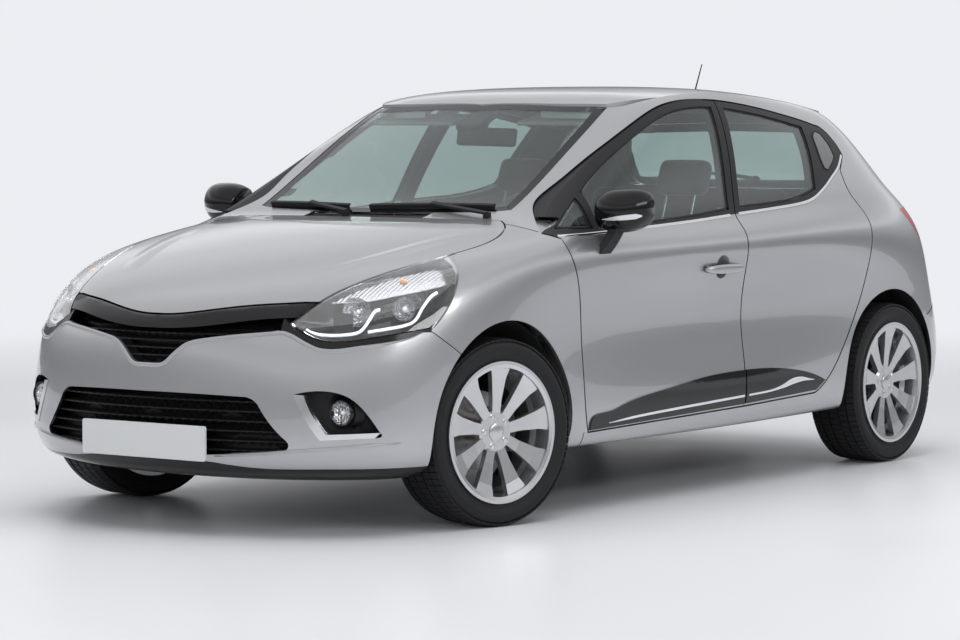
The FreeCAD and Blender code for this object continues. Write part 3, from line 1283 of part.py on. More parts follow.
trailing = box(twist_half - trailing_width * 0.727, twist_half + trailing_width * 0.273,
    floor_end + seal_room,
               rear_axle_place + trailing_end, trailing_bottom, arm_top)
twist_front = rear_axle_place - twist_lead
twist_bottom = trailing_bottom - trailing_depth * 0.07
twist_beam = box(-twist_half, twist_half, twist_front, twist_front + twist_width, twist_bottom,
    twist_bottom + trailing_depth)
spring_seat = twist_bottom + trailing_depth - hole_room
rear_spring = Part.makeCylinder(rear_spring_radius, boot_under - seal_room - spring_seat,
                                V(twist_half * 0.833, twist_front + twist_width * 0.5, spring_seat), V(0,
                                    0, 1))
carrier_face = half_track + hub_back - seal_room
stub = Part.makeCylinder(rear_spring_radius, carrier_face - twist_half,
    V(twist_half, rear_axle_place, tyre_radius), V(1, 0, 0))
rear_axle = twist_beam.fuse([trailing, mirrored(trailing), stub, mirrored(stub), rear_spring,
    mirrored(rear_spring)])
leg = whole(strut.fuse(spring))
save(Part.makeCompound([whole(suspension), leg, mirrored(leg), whole(rear_axle)]), "suspension")

# Exhaust
silencer_shares = [(-0.4388, -0.0693), (0.8060, 0.9254), (0.1070, 0.1899)]
silencer_hanger_shares = [(-0.2656, -0.2309), (0.8458, 0.8607), (0.1865, 0.2072)]
hanger_shares = [-0.2985, 0.4229]
pipe_end = half_length * 0.821
pipe = Part.makeCylinder(exhaust_radius, pipe_end - bulkhead_place,
    V(pipe_place, bulkhead_place, pipe_height), V(0, 1, 0))
silencer = share_box(silencer_shares)
silencer = silencer.makeFillet(silencer_round,
    [e for e in silencer.Edges if abs(e.Vertexes[0].Y - e.Vertexes[-1].Y) > lap])
hangers = []
for share in hanger_shares:
    start = share * half_length
    hangers.append(box(pipe_place - hanger_half, pipe_place + hanger_half, start, start + hanger_half * 3,
        pipe_height, floor_height - seal_room))
rear_hanger = share_box(silencer_hanger_shares).BoundBox
hangers.append(box(rear_hanger.XMin, rear_hanger.XMax, rear_hanger.YMin, rear_hanger.YMax,
    rear_hanger.ZMin, boot_under - seal_room))
save(whole(pipe.fuse([silencer] + hangers)), "exhaust")


# Seats
def rounded(shape, radius):
    return shape.makeFillet(radius, shape.Edges)


def head_posts(places, post_place, foot):
    return [Part.makeCylinder(post_radius, post_length, V(x, post_place, foot), V(0, 0, 1)) for x in places]


def front_seat():
    half = seat_width / 2
    seat_top = seat_bottom + cushion_thickness
    back_half = half * 0.95
    rest_half = half * 0.5
    rest_foot = back_length + rest_gap
    cushion = rounded(box(-half, half, seat_front, seat_front + seat_length, seat_bottom, seat_top),
        seat_round)
    back = rounded(box(-back_half, back_half, 0, back_thickness, 0, back_length), seat_round)
    rest = box(-rest_half, rest_half, lap, lap + rest_thickness, rest_foot, rest_foot + rest_height)
    rest = rounded(rest, rest_thickness * 0.42)
    posts = head_posts((-rest_half * 0.5, rest_half * 0.5), lap + rest_thickness * 0.5,
        back_length - lap * 2)
    back = whole(back.fuse(posts + [rest]))
    back.rotate(V(0, 0, 0), V(1, 0, 0), -back_lean)
    back.translate(V(0, seat_front + seat_length - lap * 3, seat_top - lap * 4))
    base = box(-half * 0.8, half * 0.8, seat_front + base_inset, seat_front + seat_length - base_inset,
        floor_top, seat_bottom + lap)
    seat = whole(base.fuse([cushion, back]))
    seat.translate(V(seat_place, 0, 0))
    return seat


seat_left = front_seat()
save(both(seat_left), "front_seats")
rear_half = half_width * 0.74
bench_bottom = seat_bottom + lap * 2
bench = box(-rear_half, rear_half, bench_front, bench_front + bench_length, bench_bottom,
    bench_bottom + cushion_thickness)
bench = rounded(bench, seat_round)
bench_back = box(-rear_half * 0.92, rear_half * 0.92, 0, bench_back_thickness, 0, bench_back_length)
bench_back = rounded(bench_back, seat_round * 0.89)
rests = []
rest_posts = []
bench_rest_foot = bench_back_length + lap
for x in (-rear_half * 0.55, rear_half * 0.55):
    rest = box(x - bench_rest_half, x + bench_rest_half, lap, lap + bench_rest_thickness, bench_rest_foot,
        bench_rest_foot + bench_rest_height)
    rests.append(rounded(rest, bench_rest_thickness * 0.4))
    rest_posts += head_posts((x - lap * 4, x + lap * 4), lap * 5, bench_rest_foot - lap * 3)
bench_back = whole(bench_back.fuse(rests + rest_posts))
bench_back.rotate(V(0, 0, 0), V(1, 0, 0), -bench_lean)
bench_back.translate(V(0, bench_front + bench_length - base_inset, bench_bottom + bench_back_thickness))
bench_base = box(-rear_half * 0.9, rear_half * 0.9, bench_front + lap * 4,
    floor_end - floor_thickness - hole_room, floor_top, bench_bottom + lap * 2)
rear_bench = bench.fuse([bench_back,
    bench_base]).cut(tunnel).cut(platform).cut(rear_liner_hole).cut(mirrored(rear_liner_hole))
rear_bench = whole(rear_bench)
save(rear_bench, "rear_bench")

# Dashboard and steering wheel
dash_shares = [(-0.4229, 0.6250), (-0.3483, 0.6526), (-0.2786, 0.6457), (-0.2338, 0.6077),
    (-0.2264, 0.5525), (-0.2488, 0.4834), (-0.2786, 0.4420), (-0.4229, 0.4420)]
console_shares = [(-0.1270, 0.1270), (-0.2786, 0.0100), (0.2385, 0.3867)]
stack_shares = [(-0.1617, 0.1617), (-0.3184, -0.2587), (0.2385, 0.4834)]
hood_shares = [(-0.2079, 0.2079), (-0.2985, -0.2239), (0.6215, 0.6733)]
dash_half = half_width * 0.79
dash_corners = [V(-dash_half, y * half_length, z * height) for y, z in dash_shares]
dash = Part.Face(Part.makePolygon(dash_corners + dash_corners[:1])).extrude(V(dash_half * 2, 0, 0))
console = share_box(console_shares).cut(tunnel)
stack = share_box(stack_shares).cut(tunnel)
hood = share_box(hood_shares)
hood.translate(V(seat_place, 0, 0))
dashboard = whole(dash.fuse([console, stack]))
dashboard = whole(dashboard.fuse(rounded(hood, hood_round)))
save(dashboard, "dashboard")
bar_front = steering_hub_length * 0.16
bar_back = bar_front + steering_wheel_tube * 0.93
bar_reach = steering_wheel_radius - steering_wheel_tube * 1.2
bar_root = steering_hub_radius * 0.345
bar_half_width = steering_wheel_tube * 1.07
ring = Part.makeTorus(steering_wheel_radius - steering_wheel_tube, steering_wheel_tube)
wheel_hub = Part.makeCylinder(steering_hub_radius, steering_hub_length, V(0, 0, -steering_hub_length * 0.8))
bars = [
    box(bar_root, bar_reach, -bar_half_width, bar_half_width, -bar_back, -bar_front),
    box(-bar_reach, -bar_root, -bar_half_width, bar_half_width, -bar_back, -bar_front),
    box(-bar_half_width, bar_half_width, -bar_reach, -bar_root, -bar_back, -bar_front),
]
column = Part.makeCylinder(column_radius, column_length, V(0, 0, -column_length * 1.2))
steering_wheel = whole(ring.fuse([wheel_hub, column] + bars))
steering_wheel.rotate(V(0, 0, 0), V(1, 0, 0), steering_wheel_lean - 90)
steering_wheel.translate(V(seat_place, steering_wheel_place, steering_wheel_height))
save(whole(steering_wheel.cut(dashboard)), "steering_wheel")

# Lamps and grilles at the front
lamp_bowl_shares = [
    ((0.7000, -0.8313, 0.4930), 0.0550, (0.30, -0.954)),
    ((0.8256, -0.7786, 0.4986), 0.0440, (0.45, -0.893)),
]
lens_zone = box(0, half_width * 1.1, -half_length * 1.05, -half_length * 0.58, height * 0.4, height * 0.64)
lens_layer = layer(1.0, 1.0 + lens_thickness)


def lamp_slice(sheet, inset):
    piece = sheet.common(lens_zone).common(front_block(grown(lamp_half, -inset)))
    return whole(piece.cut(block(grown(bonnet_loop, shut_gap * 0.8 + inset), "z", height * 0.3,
        height)).cut(side_block(grown(wing_region, shut_gap * 0.4 + inset), 0.4)))


head_lens = lamp_slice(lens_layer, seal_room)
save(both(head_lens), "headlamp_lenses")
outer_box = lamp_slice(layer(1.0 + lens_thickness + 0.3, lamp_depth), 1.0)
inner_box = lamp_slice(layer(-1.0, lamp_depth - housing_wall), housing_wall)
rim_start = skin_thickness + seal_room
lamp_rim = lamp_slice(layer(rim_start, rim_start + lamp_rim_thickness), -lamp_rim_reach)
lamp_rim = lamp_rim.cut(lamp_slice(layer(skin_thickness * 0.8, skin_thickness * 1.7), housing_wall * 0.6))
bowl_shares = [(0, 1.00), (-0.12, 0.95), (-0.45, 0.76), (-0.80, 0.46), (-1.00, 0.22)]


def lamp_bowl(place, radius, aim):
    # A reflector bowl on its holder, with a bulb in the middle.
    face = [(a * bowl_depth, r * radius) for a, r in bowl_shares]
    behind = [(a - bowl_wall, r) for a, r in reversed(face)]
    bowl = turned(face + behind)
    bulb = Part.makeSphere(bulb_radius, V(-bowl_depth * 0.45, 0, 0))
    holder = Part.makeCylinder(bulb_radius * 0.7, bowl_depth * 0.55, V(-bowl_depth, 0, 0), V(1, 0, 0))
    stem = Part.makeCylinder(radius * 0.36, bowl_stem, V(-bowl_depth - bowl_stem + bowl_wall, 0, 0),
        V(1, 0, 0))
    lamp = whole(bowl.fuse([bulb, holder, stem]))
    lamp.rotate(V(0, 0, 0), V(0, 0, 1), math.degrees(math.atan2(aim[1], aim[0])))
    lamp.translate(V(place[0] * half_width, place[1] * half_length, place[2] * height))
    return lamp


bowls = [lamp_bowl(place, share * half_width, aim) for place, share, aim in lamp_bowl_shares]
housing = whole(outer_box.cut(inner_box).fuse([lamp_rim] + bowls).cut(head_lens).cut(wing_left))
save(both(housing), "headlamp_units")

def bands(sheet, loops, start, end, pitch):
    # Slats: level strips of the sheet inside an opening.
    pieces = []
    z = start
    while z < end:
        strip = box(-half_width, half_width, -half_length * 1.05, -half_length * 0.6, z, z + slat_height)
        pieces.append(sheet.common(strip).common(loops))
        z += pitch
    return pieces


upper_inner = front_block(grown(symmetric(upper_half), -seal_room))
lower_inner = front_block(grown(symmetric(lower_half), -seal_room))
bar_half = in_sizes([
    [(0, 0.4544), (0.1386, 0.4565), (0.3002, 0.4669), (0.4157, 0.4765), (0.5150, 0.4814)],
    [(0.5150, 0.4814), (0.5774, 0.4834)],
    [(0.5774, 0.4834), (0.5774, 0.5525)],
    [(0.5774, 0.5525), (0, 0.5525)],
], "y")
bonnet_front_room = block(grown(bonnet_loop, shut_gap * 0.8), "z", height * 0.3, height)
under_bonnet = front_block(grown(nose_loop, -shut_gap)).common(box(-half_width, half_width,
    -half_length * 1.05, -half_length * 0.6, 0, height * 0.55))
bar_plan = block(grown(bonnet_loop, seal_room * 2), "z", height * 0.3, height)
slat_sheet = layer(grille_step, grille_step + slat_depth)
back_sheet = layer(grille_step + slat_depth * 0.98, grille_step + slat_depth * 1.09)
grille_bar = layer(seal_room,
    bar_depth).common(front_block(symmetric(bar_half))).common(under_bonnet).common(bar_plan)
grille_bar = grille_bar.cut(both(head_lens)).cut(both(housing))
upper_pieces = bands(slat_sheet, upper_inner, height * 0.392, height * 0.455, slat_pitch)
upper_back = back_sheet.common(upper_inner).common(under_bonnet)
bar_web = layer(bar_depth * 0.83,
    grille_step + slat_depth * 1.05).common(front_block(grown(symmetric(bar_half),
    -bar_depth * 0.33))).common(under_bonnet).common(upper_inner)
upper_grille = whole(upper_back.fuse(upper_pieces + [grille_bar, bar_web]))
lower_pieces = bands(slat_sheet, lower_inner, height * 0.190, height * 0.312, slat_pitch * 1.3)
lower_back = back_sheet.common(lower_inner)
lower_grille = whole(lower_back.fuse(lower_pieces))
upper_grille = whole(upper_grille.cut(front_bumper))
save(Part.makeCompound([upper_grille, lower_grille]), "front_grilles")

plate = box(-plate_width / 2, plate_width / 2, -half_length, -half_length + plate_thickness,
            plate_place - plate_height / 2, plate_place + plate_height / 2)
plate = plate.makeFillet(plate_thickness * 0.89,
    [e for e in plate.Edges if abs(e.Vertexes[0].Z - e.Vertexes[-1].Z) < 1 and abs(e.Vertexes[0].X - e.Vertexes[-1].X) < 1])
plate_low = plate_place - plate_height / 2
foot_front = -half_length + plate_thickness * 0.55
plate_foot = box(-plate_width * 0.385, plate_width * 0.385, foot_front, foot_front + plate_foot_length,
    plate_low + hole_room, plate_low + plate_thickness * 0.89)
front_plate = whole(plate.fuse(plate_foot).cut(front_bumper).cut(lower_grille))
save(front_plate, "front_plate")

fog_place = (half_width * 0.7345, height * 0.277)
fog_front = -half_length * 0.8955
fog_aim = V(0.30, 1, 0)
fog_back = layer(fog_depth, fog_depth + grille_step * 0.5).common(front_block(grown(fog_loop, -seal_room)))


def fog_ring(inner, outer, start, end):
    # A turned ring of the fog lamp, from one radius to another, along its aim.
    ring = Part.makeCylinder(outer, end - start, V(0, 0, 0), V(0, 1, 0))
    if inner > 0:
        ring = ring.cut(Part.makeCylinder(inner, end - start, V(0, 0, 0), V(0, 1, 0)))
    ring.translate(V(0, start, 0))
    ring.rotate(V(0, 0, 0), V(0, 0, 1), -math.degrees(math.atan2(fog_aim.x, fog_aim.y)))
    ring.translate(V(fog_place[0], fog_front, fog_place[1]))
    return ring


fog_bezel = fog_ring(fog_lamp_radius, fog_lamp_radius + fog_bezel_width, 0, fog_reach)
fog_glass = fog_ring(0, fog_lamp_radius, fog_bezel_width, fog_reach)
fog_rim = layer(skin_thickness + seal_room,
    fog_rim_depth).common(front_block(grown(fog_loop,
    fog_bezel_width)).cut(front_block(grown(fog_loop, -fog_bezel_width * 0.375))))
fog_lamp = whole(fog_back.fuse([fog_bezel, fog_glass, fog_rim]).cut(front_bumper))
save(both(fog_lamp), "fog_lamps")
fog_trim_shares = [
    [(0.6062, 0.3163), (0.6513, 0.2624), (0.6952, 0.2203)],
    [(0.6952, 0.2203), (0.8383, 0.2244)],
    [(0.8383, 0.2244), (0.8476, 0.2320)],
    [(0.8476, 0.2320), (0.7090, 0.2293)],
    [(0.7090, 0.2293), (0.6721, 0.2652), (0.6351, 0.3149)],
    [(0.6351, 0.3149), (0.6062, 0.3163)],
]
fog_trim_block = front_block(grown(in_sizes(fog_trim_shares, "y"),
    fog_bezel_width * 0.375)).common(front_block(grown(fog_loop, -seal_room)))
fog_trim = whole(layer(-fog_trim_proud, skin_thickness).common(fog_trim_block))
save(both(fog_trim), "fog_trims")

# Door trims, mirrors and handles
door_trim_shares = [
    [(-0.3502, 0.1913), (-0.3502, 0.2127), (-0.2985, 0.2307), (-0.2418, 0.2459), (-0.1199, 0.2680),
        (0.0065, 0.2859), (0.1353, 0.2921), (0.2363, 0.2894),
     (0.3005, 0.2818), (0.3682, 0.2673), (0.4289, 0.2431)],
    [(0.4289, 0.2431), (0.3980, 0.2196)],
    [(0.3980, 0.2196), (0.1473, 0.2072)],
    [(0.1473, 0.2072), (-0.3502, 0.1913)],
]
trim_sheet = layer(-trim_thickness, -0.3)
trim_block = side_block(in_sizes(door_trim_shares, "x"))
trim_front = whole(trim_sheet.common(trim_block).common(side_block(grown(front_door, -1))))
trim_rear = whole(trim_sheet.common(trim_block).common(side_block(grown(rear_door, -1))))
save(trim_front, "door_trim_front_left")
save(mirrored(trim_front), "door_trim_front_right")
save(trim_rear, "door_trim_rear_left")
save(mirrored(trim_rear), "door_trim_rear_right")

mirror_sections = [
    (0.925,
        [(-0.2423, 0.6733), (-0.2423, 0.7044), (-0.2448, 0.7334), (-0.2687, 0.7403), (-0.2935, 0.7265),
        (-0.3015, 0.6975), (-0.2925, 0.6685), (-0.2637, 0.6595)]),
    (0.985,
        [(-0.2398, 0.6644), (-0.2398, 0.7044), (-0.2423, 0.7431), (-0.2687, 0.7528), (-0.2985, 0.7376),
        (-0.3095, 0.7010), (-0.2985, 0.6630), (-0.2637, 0.6506)]),
    (1.055,
        [(-0.2398, 0.6657), (-0.2398, 0.7058), (-0.2423, 0.7445), (-0.2677, 0.7528), (-0.2945, 0.7362),
        (-0.3045, 0.7017), (-0.2935, 0.6657), (-0.2637, 0.6547)]),
    (1.105,
        [(-0.2418, 0.6782), (-0.2418, 0.7086), (-0.2438, 0.7376), (-0.2637, 0.7445), (-0.2816, 0.7293),
        (-0.2876, 0.7044), (-0.2796, 0.6796), (-0.2612, 0.6713)]),
    (1.125,
        [(-0.2473, 0.6934), (-0.2468, 0.7086), (-0.2483, 0.7238), (-0.2587, 0.7272), (-0.2687, 0.7210),
        (-0.2721, 0.7072), (-0.2682, 0.6934), (-0.2577, 0.6892)]),
]
sections = []
for share, places in mirror_sections:
    spots = [V(share * half_width, a * half_length, b * height) for a, b in places]
    curve = Part.BSplineCurve()
    curve.interpolate(spots, PeriodicFlag=True)
    sections.append(Part.Wire([curve.toShape()]))
mirror_head = Part.makeLoft(sections, True)
stalk_sections = []
for share, size_share, y, z in [(0.955, 1.3, -0.3080, 0.5950), (0.985, 1.1, -0.2960, 0.6250),
    (1.000, 1.0, -0.2800, 0.6620)]:
    ring = Part.makePolygon([V(share * half_width + a * mirror_stalk,
        y * half_length + b * mirror_stalk * size_share * 1.6, z * height)
                             for a, b in [(-1, -1), (1, -1), (1, 1), (-1, 1), (-1, -1)]])
    stalk_sections.append(ring)
mirror_arm = Part.makeLoft(stalk_sections, True)
mirror = whole(mirror_head.fuse(mirror_arm).cut(side_block(front_door).common(layer(seal_room * -1,
    door_depth))))
save(mirror, "mirror_left")
save(mirrored(mirror), "mirror_right")

# Cowl, wipers and aerial
cowl_half = in_sizes([
    [(0, -0.4289), (0.2309, -0.4274), (0.4619, -0.4224), (0.6628, -0.4119)],
    [(0.6628, -0.4119), (0.6374, -0.3687)],
    [(0.6374, -0.3687), (0.5774, -0.3771), (0.4619, -0.3871), (0.2309, -0.3990), (0, -0.4020)],
], "z")
wiper_shares = [
    [(0.5774, -0.4040), (-0.0346, -0.3861), (0.5543, -0.3672)],
    [(-0.1039, -0.4169), (-0.5774, -0.3692), (-0.1386, -0.3861)],
]
cowl = layer(cowl_step,
    cowl_step + cowl_thickness).common(block(symmetric(cowl_half), "z", height * 0.6, height))
cowl = whole(cowl.cut(bonnet).cut(bodyside_left).cut(mirrored(bodyside_left)))
save(cowl, "cowl")
def wiper(pivot, inner, outer):
    # A blade along the foot of the screen, and an arm from its pivot on the cowl.
    def bar(start, end, wide, thick, low):
        a, b = unit(end[0] - start[0], end[1] - start[1])
        side = (-b * wide / 2, a * wide / 2)
        loop = [[(start[0] + side[0], start[1] + side[1]), (end[0] + side[0], end[1] + side[1])],
                [(end[0] + side[0], end[1] + side[1]), (end[0] - side[0], end[1] - side[1])],
                [(end[0] - side[0], end[1] - side[1]), (start[0] - side[0], start[1] - side[1])],
                [(start[0] - side[0], start[1] - side[1]), (start[0] + side[0], start[1] + side[1])]]
        return layer(-low - thick, -low).common(block(loop, "z", height * 0.6, height))
    middle = ((inner[0] + outer[0]) / 2, (inner[1] + outer[1]) / 2)
    rubber = bar(inner, outer, wiper_width * 0.3, wiper_width, seal_room - glass_step)
    back = bar(inner, outer, wiper_width, wiper_width * 0.5, wiper_width * 0.6)
    arm = bar(pivot, middle, wiper_width * 1.3, wiper_width * 0.6, wiper_width * 0.9)
    foot = Part.makeCylinder(wiper_width * 1.2, wiper_width * 3.5,
        V(pivot[0], pivot[1], wiper_foot_height), V(0, 0, 1))
    return whole(rubber.fuse([back, arm,
        foot]).cut(cowl).cut(bonnet).cut(bodyside_left).cut(mirrored(bodyside_left)))


def spot_of(shares):
    return (shares[0] * half_width, shares[1] * half_length)


wipers = [wiper(*[spot_of(place) for place in places]) for places in wiper_shares]
save(Part.makeCompound(wipers), "wipers")
aerial_place = V(0, half_length * 0.642, height * 0.9655)
aerial_foot = Part.makeCone(aerial_radius, aerial_radius * 0.36, aerial_foot_length, aerial_place,
    V(0, 0.35, 1))
aerial_rod = Part.makeCone(aerial_thickness * 0.5, aerial_thickness * 0.29, aerial_length, aerial_place,
    V(0, 0.48, 1))
save(whole(aerial_foot.fuse(aerial_rod).cut(roof_panel)), "aerial")
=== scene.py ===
# %% [markdown]
# # A five-door hatchback
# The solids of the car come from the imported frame. This file gives them their
# finishes and adds the pieces that are too fine for the solids: tread, lamp
# insides, seals, chrome strips, seat covers and fasteners.

# %% Start: load the frame
import math
import bmesh
import bpy
import numpy as np
from mathutils import Matrix, Vector
from mathutils.bvhtree import BVHTree


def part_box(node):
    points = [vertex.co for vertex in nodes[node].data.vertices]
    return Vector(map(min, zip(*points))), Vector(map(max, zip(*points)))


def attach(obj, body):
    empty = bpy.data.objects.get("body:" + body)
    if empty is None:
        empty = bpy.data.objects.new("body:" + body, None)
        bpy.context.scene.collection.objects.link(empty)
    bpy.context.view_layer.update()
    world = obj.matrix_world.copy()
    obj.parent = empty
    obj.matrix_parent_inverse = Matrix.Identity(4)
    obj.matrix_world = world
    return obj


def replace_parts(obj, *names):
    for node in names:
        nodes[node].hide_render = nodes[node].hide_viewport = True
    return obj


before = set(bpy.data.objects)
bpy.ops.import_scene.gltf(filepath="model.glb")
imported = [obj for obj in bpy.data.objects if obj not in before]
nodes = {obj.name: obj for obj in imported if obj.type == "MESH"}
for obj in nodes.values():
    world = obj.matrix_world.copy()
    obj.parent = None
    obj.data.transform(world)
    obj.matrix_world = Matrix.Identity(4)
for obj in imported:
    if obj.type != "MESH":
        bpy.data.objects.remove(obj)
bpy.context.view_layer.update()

sides = {"left": 1, "right": -1}
ends = ("front", "rear")


def linked(name, data):
    """A new object in the scene."""
    made = bpy.data.objects.new(name, data)
    bpy.context.scene.collection.objects.link(made)
    return made


# %% [markdown]
# The camera stands ahead and to the left of the car at chest height, with a
# long lens. Its place was solved from points that both the photograph and the
# solids show, so it is given as plain numbers.

# %% Camera
camera_data = bpy.data.cameras.new("camera")
camera = linked("camera", camera_data)
camera.location = (7.141, -10.079, 1.316)
camera.rotation_euler = (math.radians(90 - 3.375), 0, math.radians(35.745))
camera_data.sensor_width = 36
camera_data.lens = 125.8
camera_data.clip_end = 200
bpy.context.scene.camera = camera
print("camera", tuple(camera.location), "lens", camera_data.lens)

# %% [markdown]
# A material is a small tree of nodes. The next cell has the steps that the
# finishes share: a new tree, a texture, a sum, a ramp and a bump. Every pattern
# reads Object coordinates, which for this frame are metres on the car itself.


# %% Helpers for materials
def finish(name, color, rough, metal=0.0, coat=0.0, coat_rough=0.03, specular=0.5, transmission=0.0, ior=1.45,
           sheen=0.0, emission=None):
    """A new material with one Principled shader."""
    material = bpy.data.materials.new(name)
    material.use_nodes = True
    values = {"Base Color": (*color, 1), "Roughness": rough, "Metallic": metal, "Coat Weight": coat,
              "Coat Roughness": coat_rough, "Specular IOR Level": specular, "Transmission Weight": transmission,
              "IOR": ior, "Sheen Weight": sheen}
    if emission:
        values.update({"Emission Color": (*color, 1), "Emission Strength": emission})
    for key, value in values.items():
        shader_of(material).inputs[key].default_value = value
    return material


def node(owner, kind, **values):
    """A node with some of its inputs, or its own settings, filled in."""
    made = owner.node_tree.nodes.new(kind)
    for key, value in values.items():
        if key in made.inputs:
            made.inputs[key].default_value = value
        else:
            setattr(made, key, value)
    return made


def join(owner, out, into):
    owner.node_tree.links.new(out, into)


def shader_of(material):
    return material.node_tree.nodes["Principled BSDF"]


def place_of(material):
    """The material's one Texture Coordinate node."""
    for one in material.node_tree.nodes:
        if one.bl_idname == "ShaderNodeTexCoord":
            return one
    return node(material, "ShaderNodeTexCoord")


def pattern(material, kind, output="Fac", **values):
    """A texture on Object coordinates."""
    made = node(material, "ShaderNodeTex" + kind, **values)
    join(material, place_of(material).outputs["Object"], made.inputs["Vector"])
    return made.outputs[output]


def noise(material, scale, detail=2.0, rough=0.5):
    return pattern(material, "Noise", Scale=scale, Detail=detail, Roughness=rough)


def spread(owner, value, low, high, start=0.0, end=1.0, **settings):
    """Turns a value between start and end into low to high."""
    made = node(owner, "ShaderNodeMapRange", **settings)
    for key, number in (("From Min", start), ("From Max", end), ("To Min", low), ("To Max", high)):
        made.inputs[key].default_value = number
    join(owner, value, made.inputs["Value"])
    return made.outputs["Result"]


def calc(owner, operation, *values):
    """A sum of sockets and plain numbers."""
    made = node(owner, "ShaderNodeMath", operation=operation)
    for index, value in enumerate(values):
        if isinstance(value, (int, float)):
            made.inputs[index].default_value = value
        else:
            join(owner, value, made.inputs[index])
    return made.outputs[0]


def bump(material, value, depth, strength=1.0, into="Normal"):
    made = node(material, "ShaderNodeBump", Strength=strength, Distance=depth)
    join(material, value, made.inputs["Height"])
    join(material, made.outputs["Normal"], shader_of(material).inputs[into])


def two_colours(material, value, first, second):
    made = node(material, "ShaderNodeMix", data_type="RGBA")
    join(material, value, made.inputs["Factor"])
    made.inputs["A"].default_value = (*first, 1)
    made.inputs["B"].default_value = (*second, 1)
    join(material, made.outputs["Result"], shader_of(material).inputs["Base Color"])


def covered(material, mask, color, metal, rough, coat):
    """Puts another finish over the material wherever the mask is 1."""
    values = {"Base Color": (*color, 1), "Metallic": metal, "Roughness": rough, "Coat Weight": coat}
    for key, value in values.items():
        into = shader_of(material).inputs[key]
        mix = node(material, "ShaderNodeMix", data_type="RGBA" if key == "Base Color" else "FLOAT")
        join(material, mask, mix.inputs["Factor"])
        if into.is_linked:
            join(material, into.links[0].from_socket, mix.inputs["A"])
        else:
            mix.inputs["A"].default_value = into.default_value
        mix.inputs["B"].default_value = value
        join(material, mix.outputs["Result"], into)


def mixed(owner, share, first, second):
    """Goes from one shader to another."""
    made = node(owner, "ShaderNodeMixShader")
    for out, into in zip((share, first, second), made.inputs):
        join(owner, out, into)
    return made.outputs[0]


def axes_of(material):
    split = node(material, "ShaderNodeSeparateXYZ")
    join(material, place_of(material).outputs["Object"], split.inputs["Vector"])
    return split.outputs


def over_line(material, along, table, tall=1.0):
    """1 where z is over a line. The table holds (along, z) places, with no z over tall."""
    start, end = table[0][0], table[-1][0]
    curve = node(material, "ShaderNodeFloatCurve")
    points = curve.mapping.curves[0].points
    for index, (place, z) in enumerate(table):
        spot = ((place - start) / (end - start), z / tall)
        if index in (0, len(table) - 1):
            points[-1 if index else 0].location = spot
        else:
            points.new(*spot)
    curve.mapping.update()
    join(material, spread(material, along, 0.0, 1.0, start, end), curve.inputs["Value"])
    return calc(material, "GREATER_THAN", axes_of(material)["Z"], calc(material, "MULTIPLY", curve.outputs[0], tall))


print("material helpers ready")

# %% [markdown]
# Rough plastics get a grain in the bump, metals a slow change of roughness,
# glass and lamps a slight ripple, and cloth a fine weave.


# %% Plastics, rubber, metals and glass
def grained(name, color, rough, scale, depth, **more):
    material = finish(name, color, rough, **more)
    bump(material, noise(material, scale, 3.0, 0.6), depth, 0.6)
    join(material, spread(material, noise(material, 6.0), rough * 0.88, rough * 1.12),
         shader_of(material).inputs["Roughness"])
    return material


def polished(name, color, rough, **more):
    material = finish(name, color, rough, **more)
    join(material, spread(material, noise(material, 9.0), rough * 0.85, rough * 1.15),
         shader_of(material).inputs["Roughness"])
    bump(material, noise(material, 120.0), 0.0002, 0.05)
    return material


def rippled(name, color, rough, scale, depth, strength, **more):
    material = finish(name, color, rough, **more)
    bump(material, noise(material, scale), depth, strength)
    return material


def clear(name, color, rough, ior):
    """Shadow rays pass the glass, so the lamps reach what is behind it."""
    material = finish(name, color, rough, coat=1.0, coat_rough=0.0, transmission=1.0, ior=ior)
    ray = node(material, "ShaderNodeLightPath")
    join(material, spread(material, ray.outputs["Is Shadow Ray"], 1.0, 0.15), shader_of(material).inputs["Alpha"])
    return material


def cloth(name, first, second, scale=650.0):
    material = finish(name, first, 0.9, sheen=0.4)
    weave = pattern(material, "Wave", Scale=scale, Distortion=1.2, Detail=1.0, bands_direction="DIAGONAL")
    two_colours(material, weave, first, second)
    bump(material, weave, 0.0004, 0.5)
    return material


gloss_black = polished("gloss_black", (0.006, 0.006, 0.0065), 0.07, coat=0.22, specular=0.30)
matt_black = grained("matt_black", (0.014, 0.014, 0.015), 0.52, 900.0, 0.0002, specular=0.25)
grille_black = grained("grille_black", (0.0085, 0.0085, 0.009), 0.42, 700.0, 0.0002, specular=0.35)
seal_rubber = grained("seal_rubber", (0.012, 0.012, 0.012), 0.68, 700.0, 0.0002)
tyre_rubber = grained("tyre_rubber", (0.013, 0.013, 0.014), 0.58, 420.0, 0.0004, specular=0.28)
wheel_silver = polished("wheel_silver", (0.56, 0.565, 0.575), 0.24, metal=0.88, coat=0.6)
chrome = polished("chrome", (0.82, 0.83, 0.84), 0.08, metal=1.0)
satin_chrome = polished("satin_chrome", (0.70, 0.71, 0.72), 0.22, metal=1.0)
disc_steel = polished("disc_steel", (0.42, 0.41, 0.40), 0.32, metal=1.0)
cast_iron = grained("cast_iron", (0.13, 0.13, 0.13), 0.55, 260.0, 0.0006, metal=0.7)
underbody = grained("underbody", (0.030, 0.030, 0.031), 0.75, 140.0, 0.0010)
engine_cast = grained("engine_cast", (0.22, 0.22, 0.22), 0.5, 180.0, 0.0008, metal=0.6)
liner_felt = grained("liner_felt", (0.015, 0.015, 0.015), 0.9, 500.0, 0.0012)
plate_grey = grained("plate_grey", (0.62, 0.63, 0.64), 0.42, 300.0, 0.0001)
steel_pipe = polished("steel_pipe", (0.16, 0.155, 0.15), 0.45, metal=0.85)
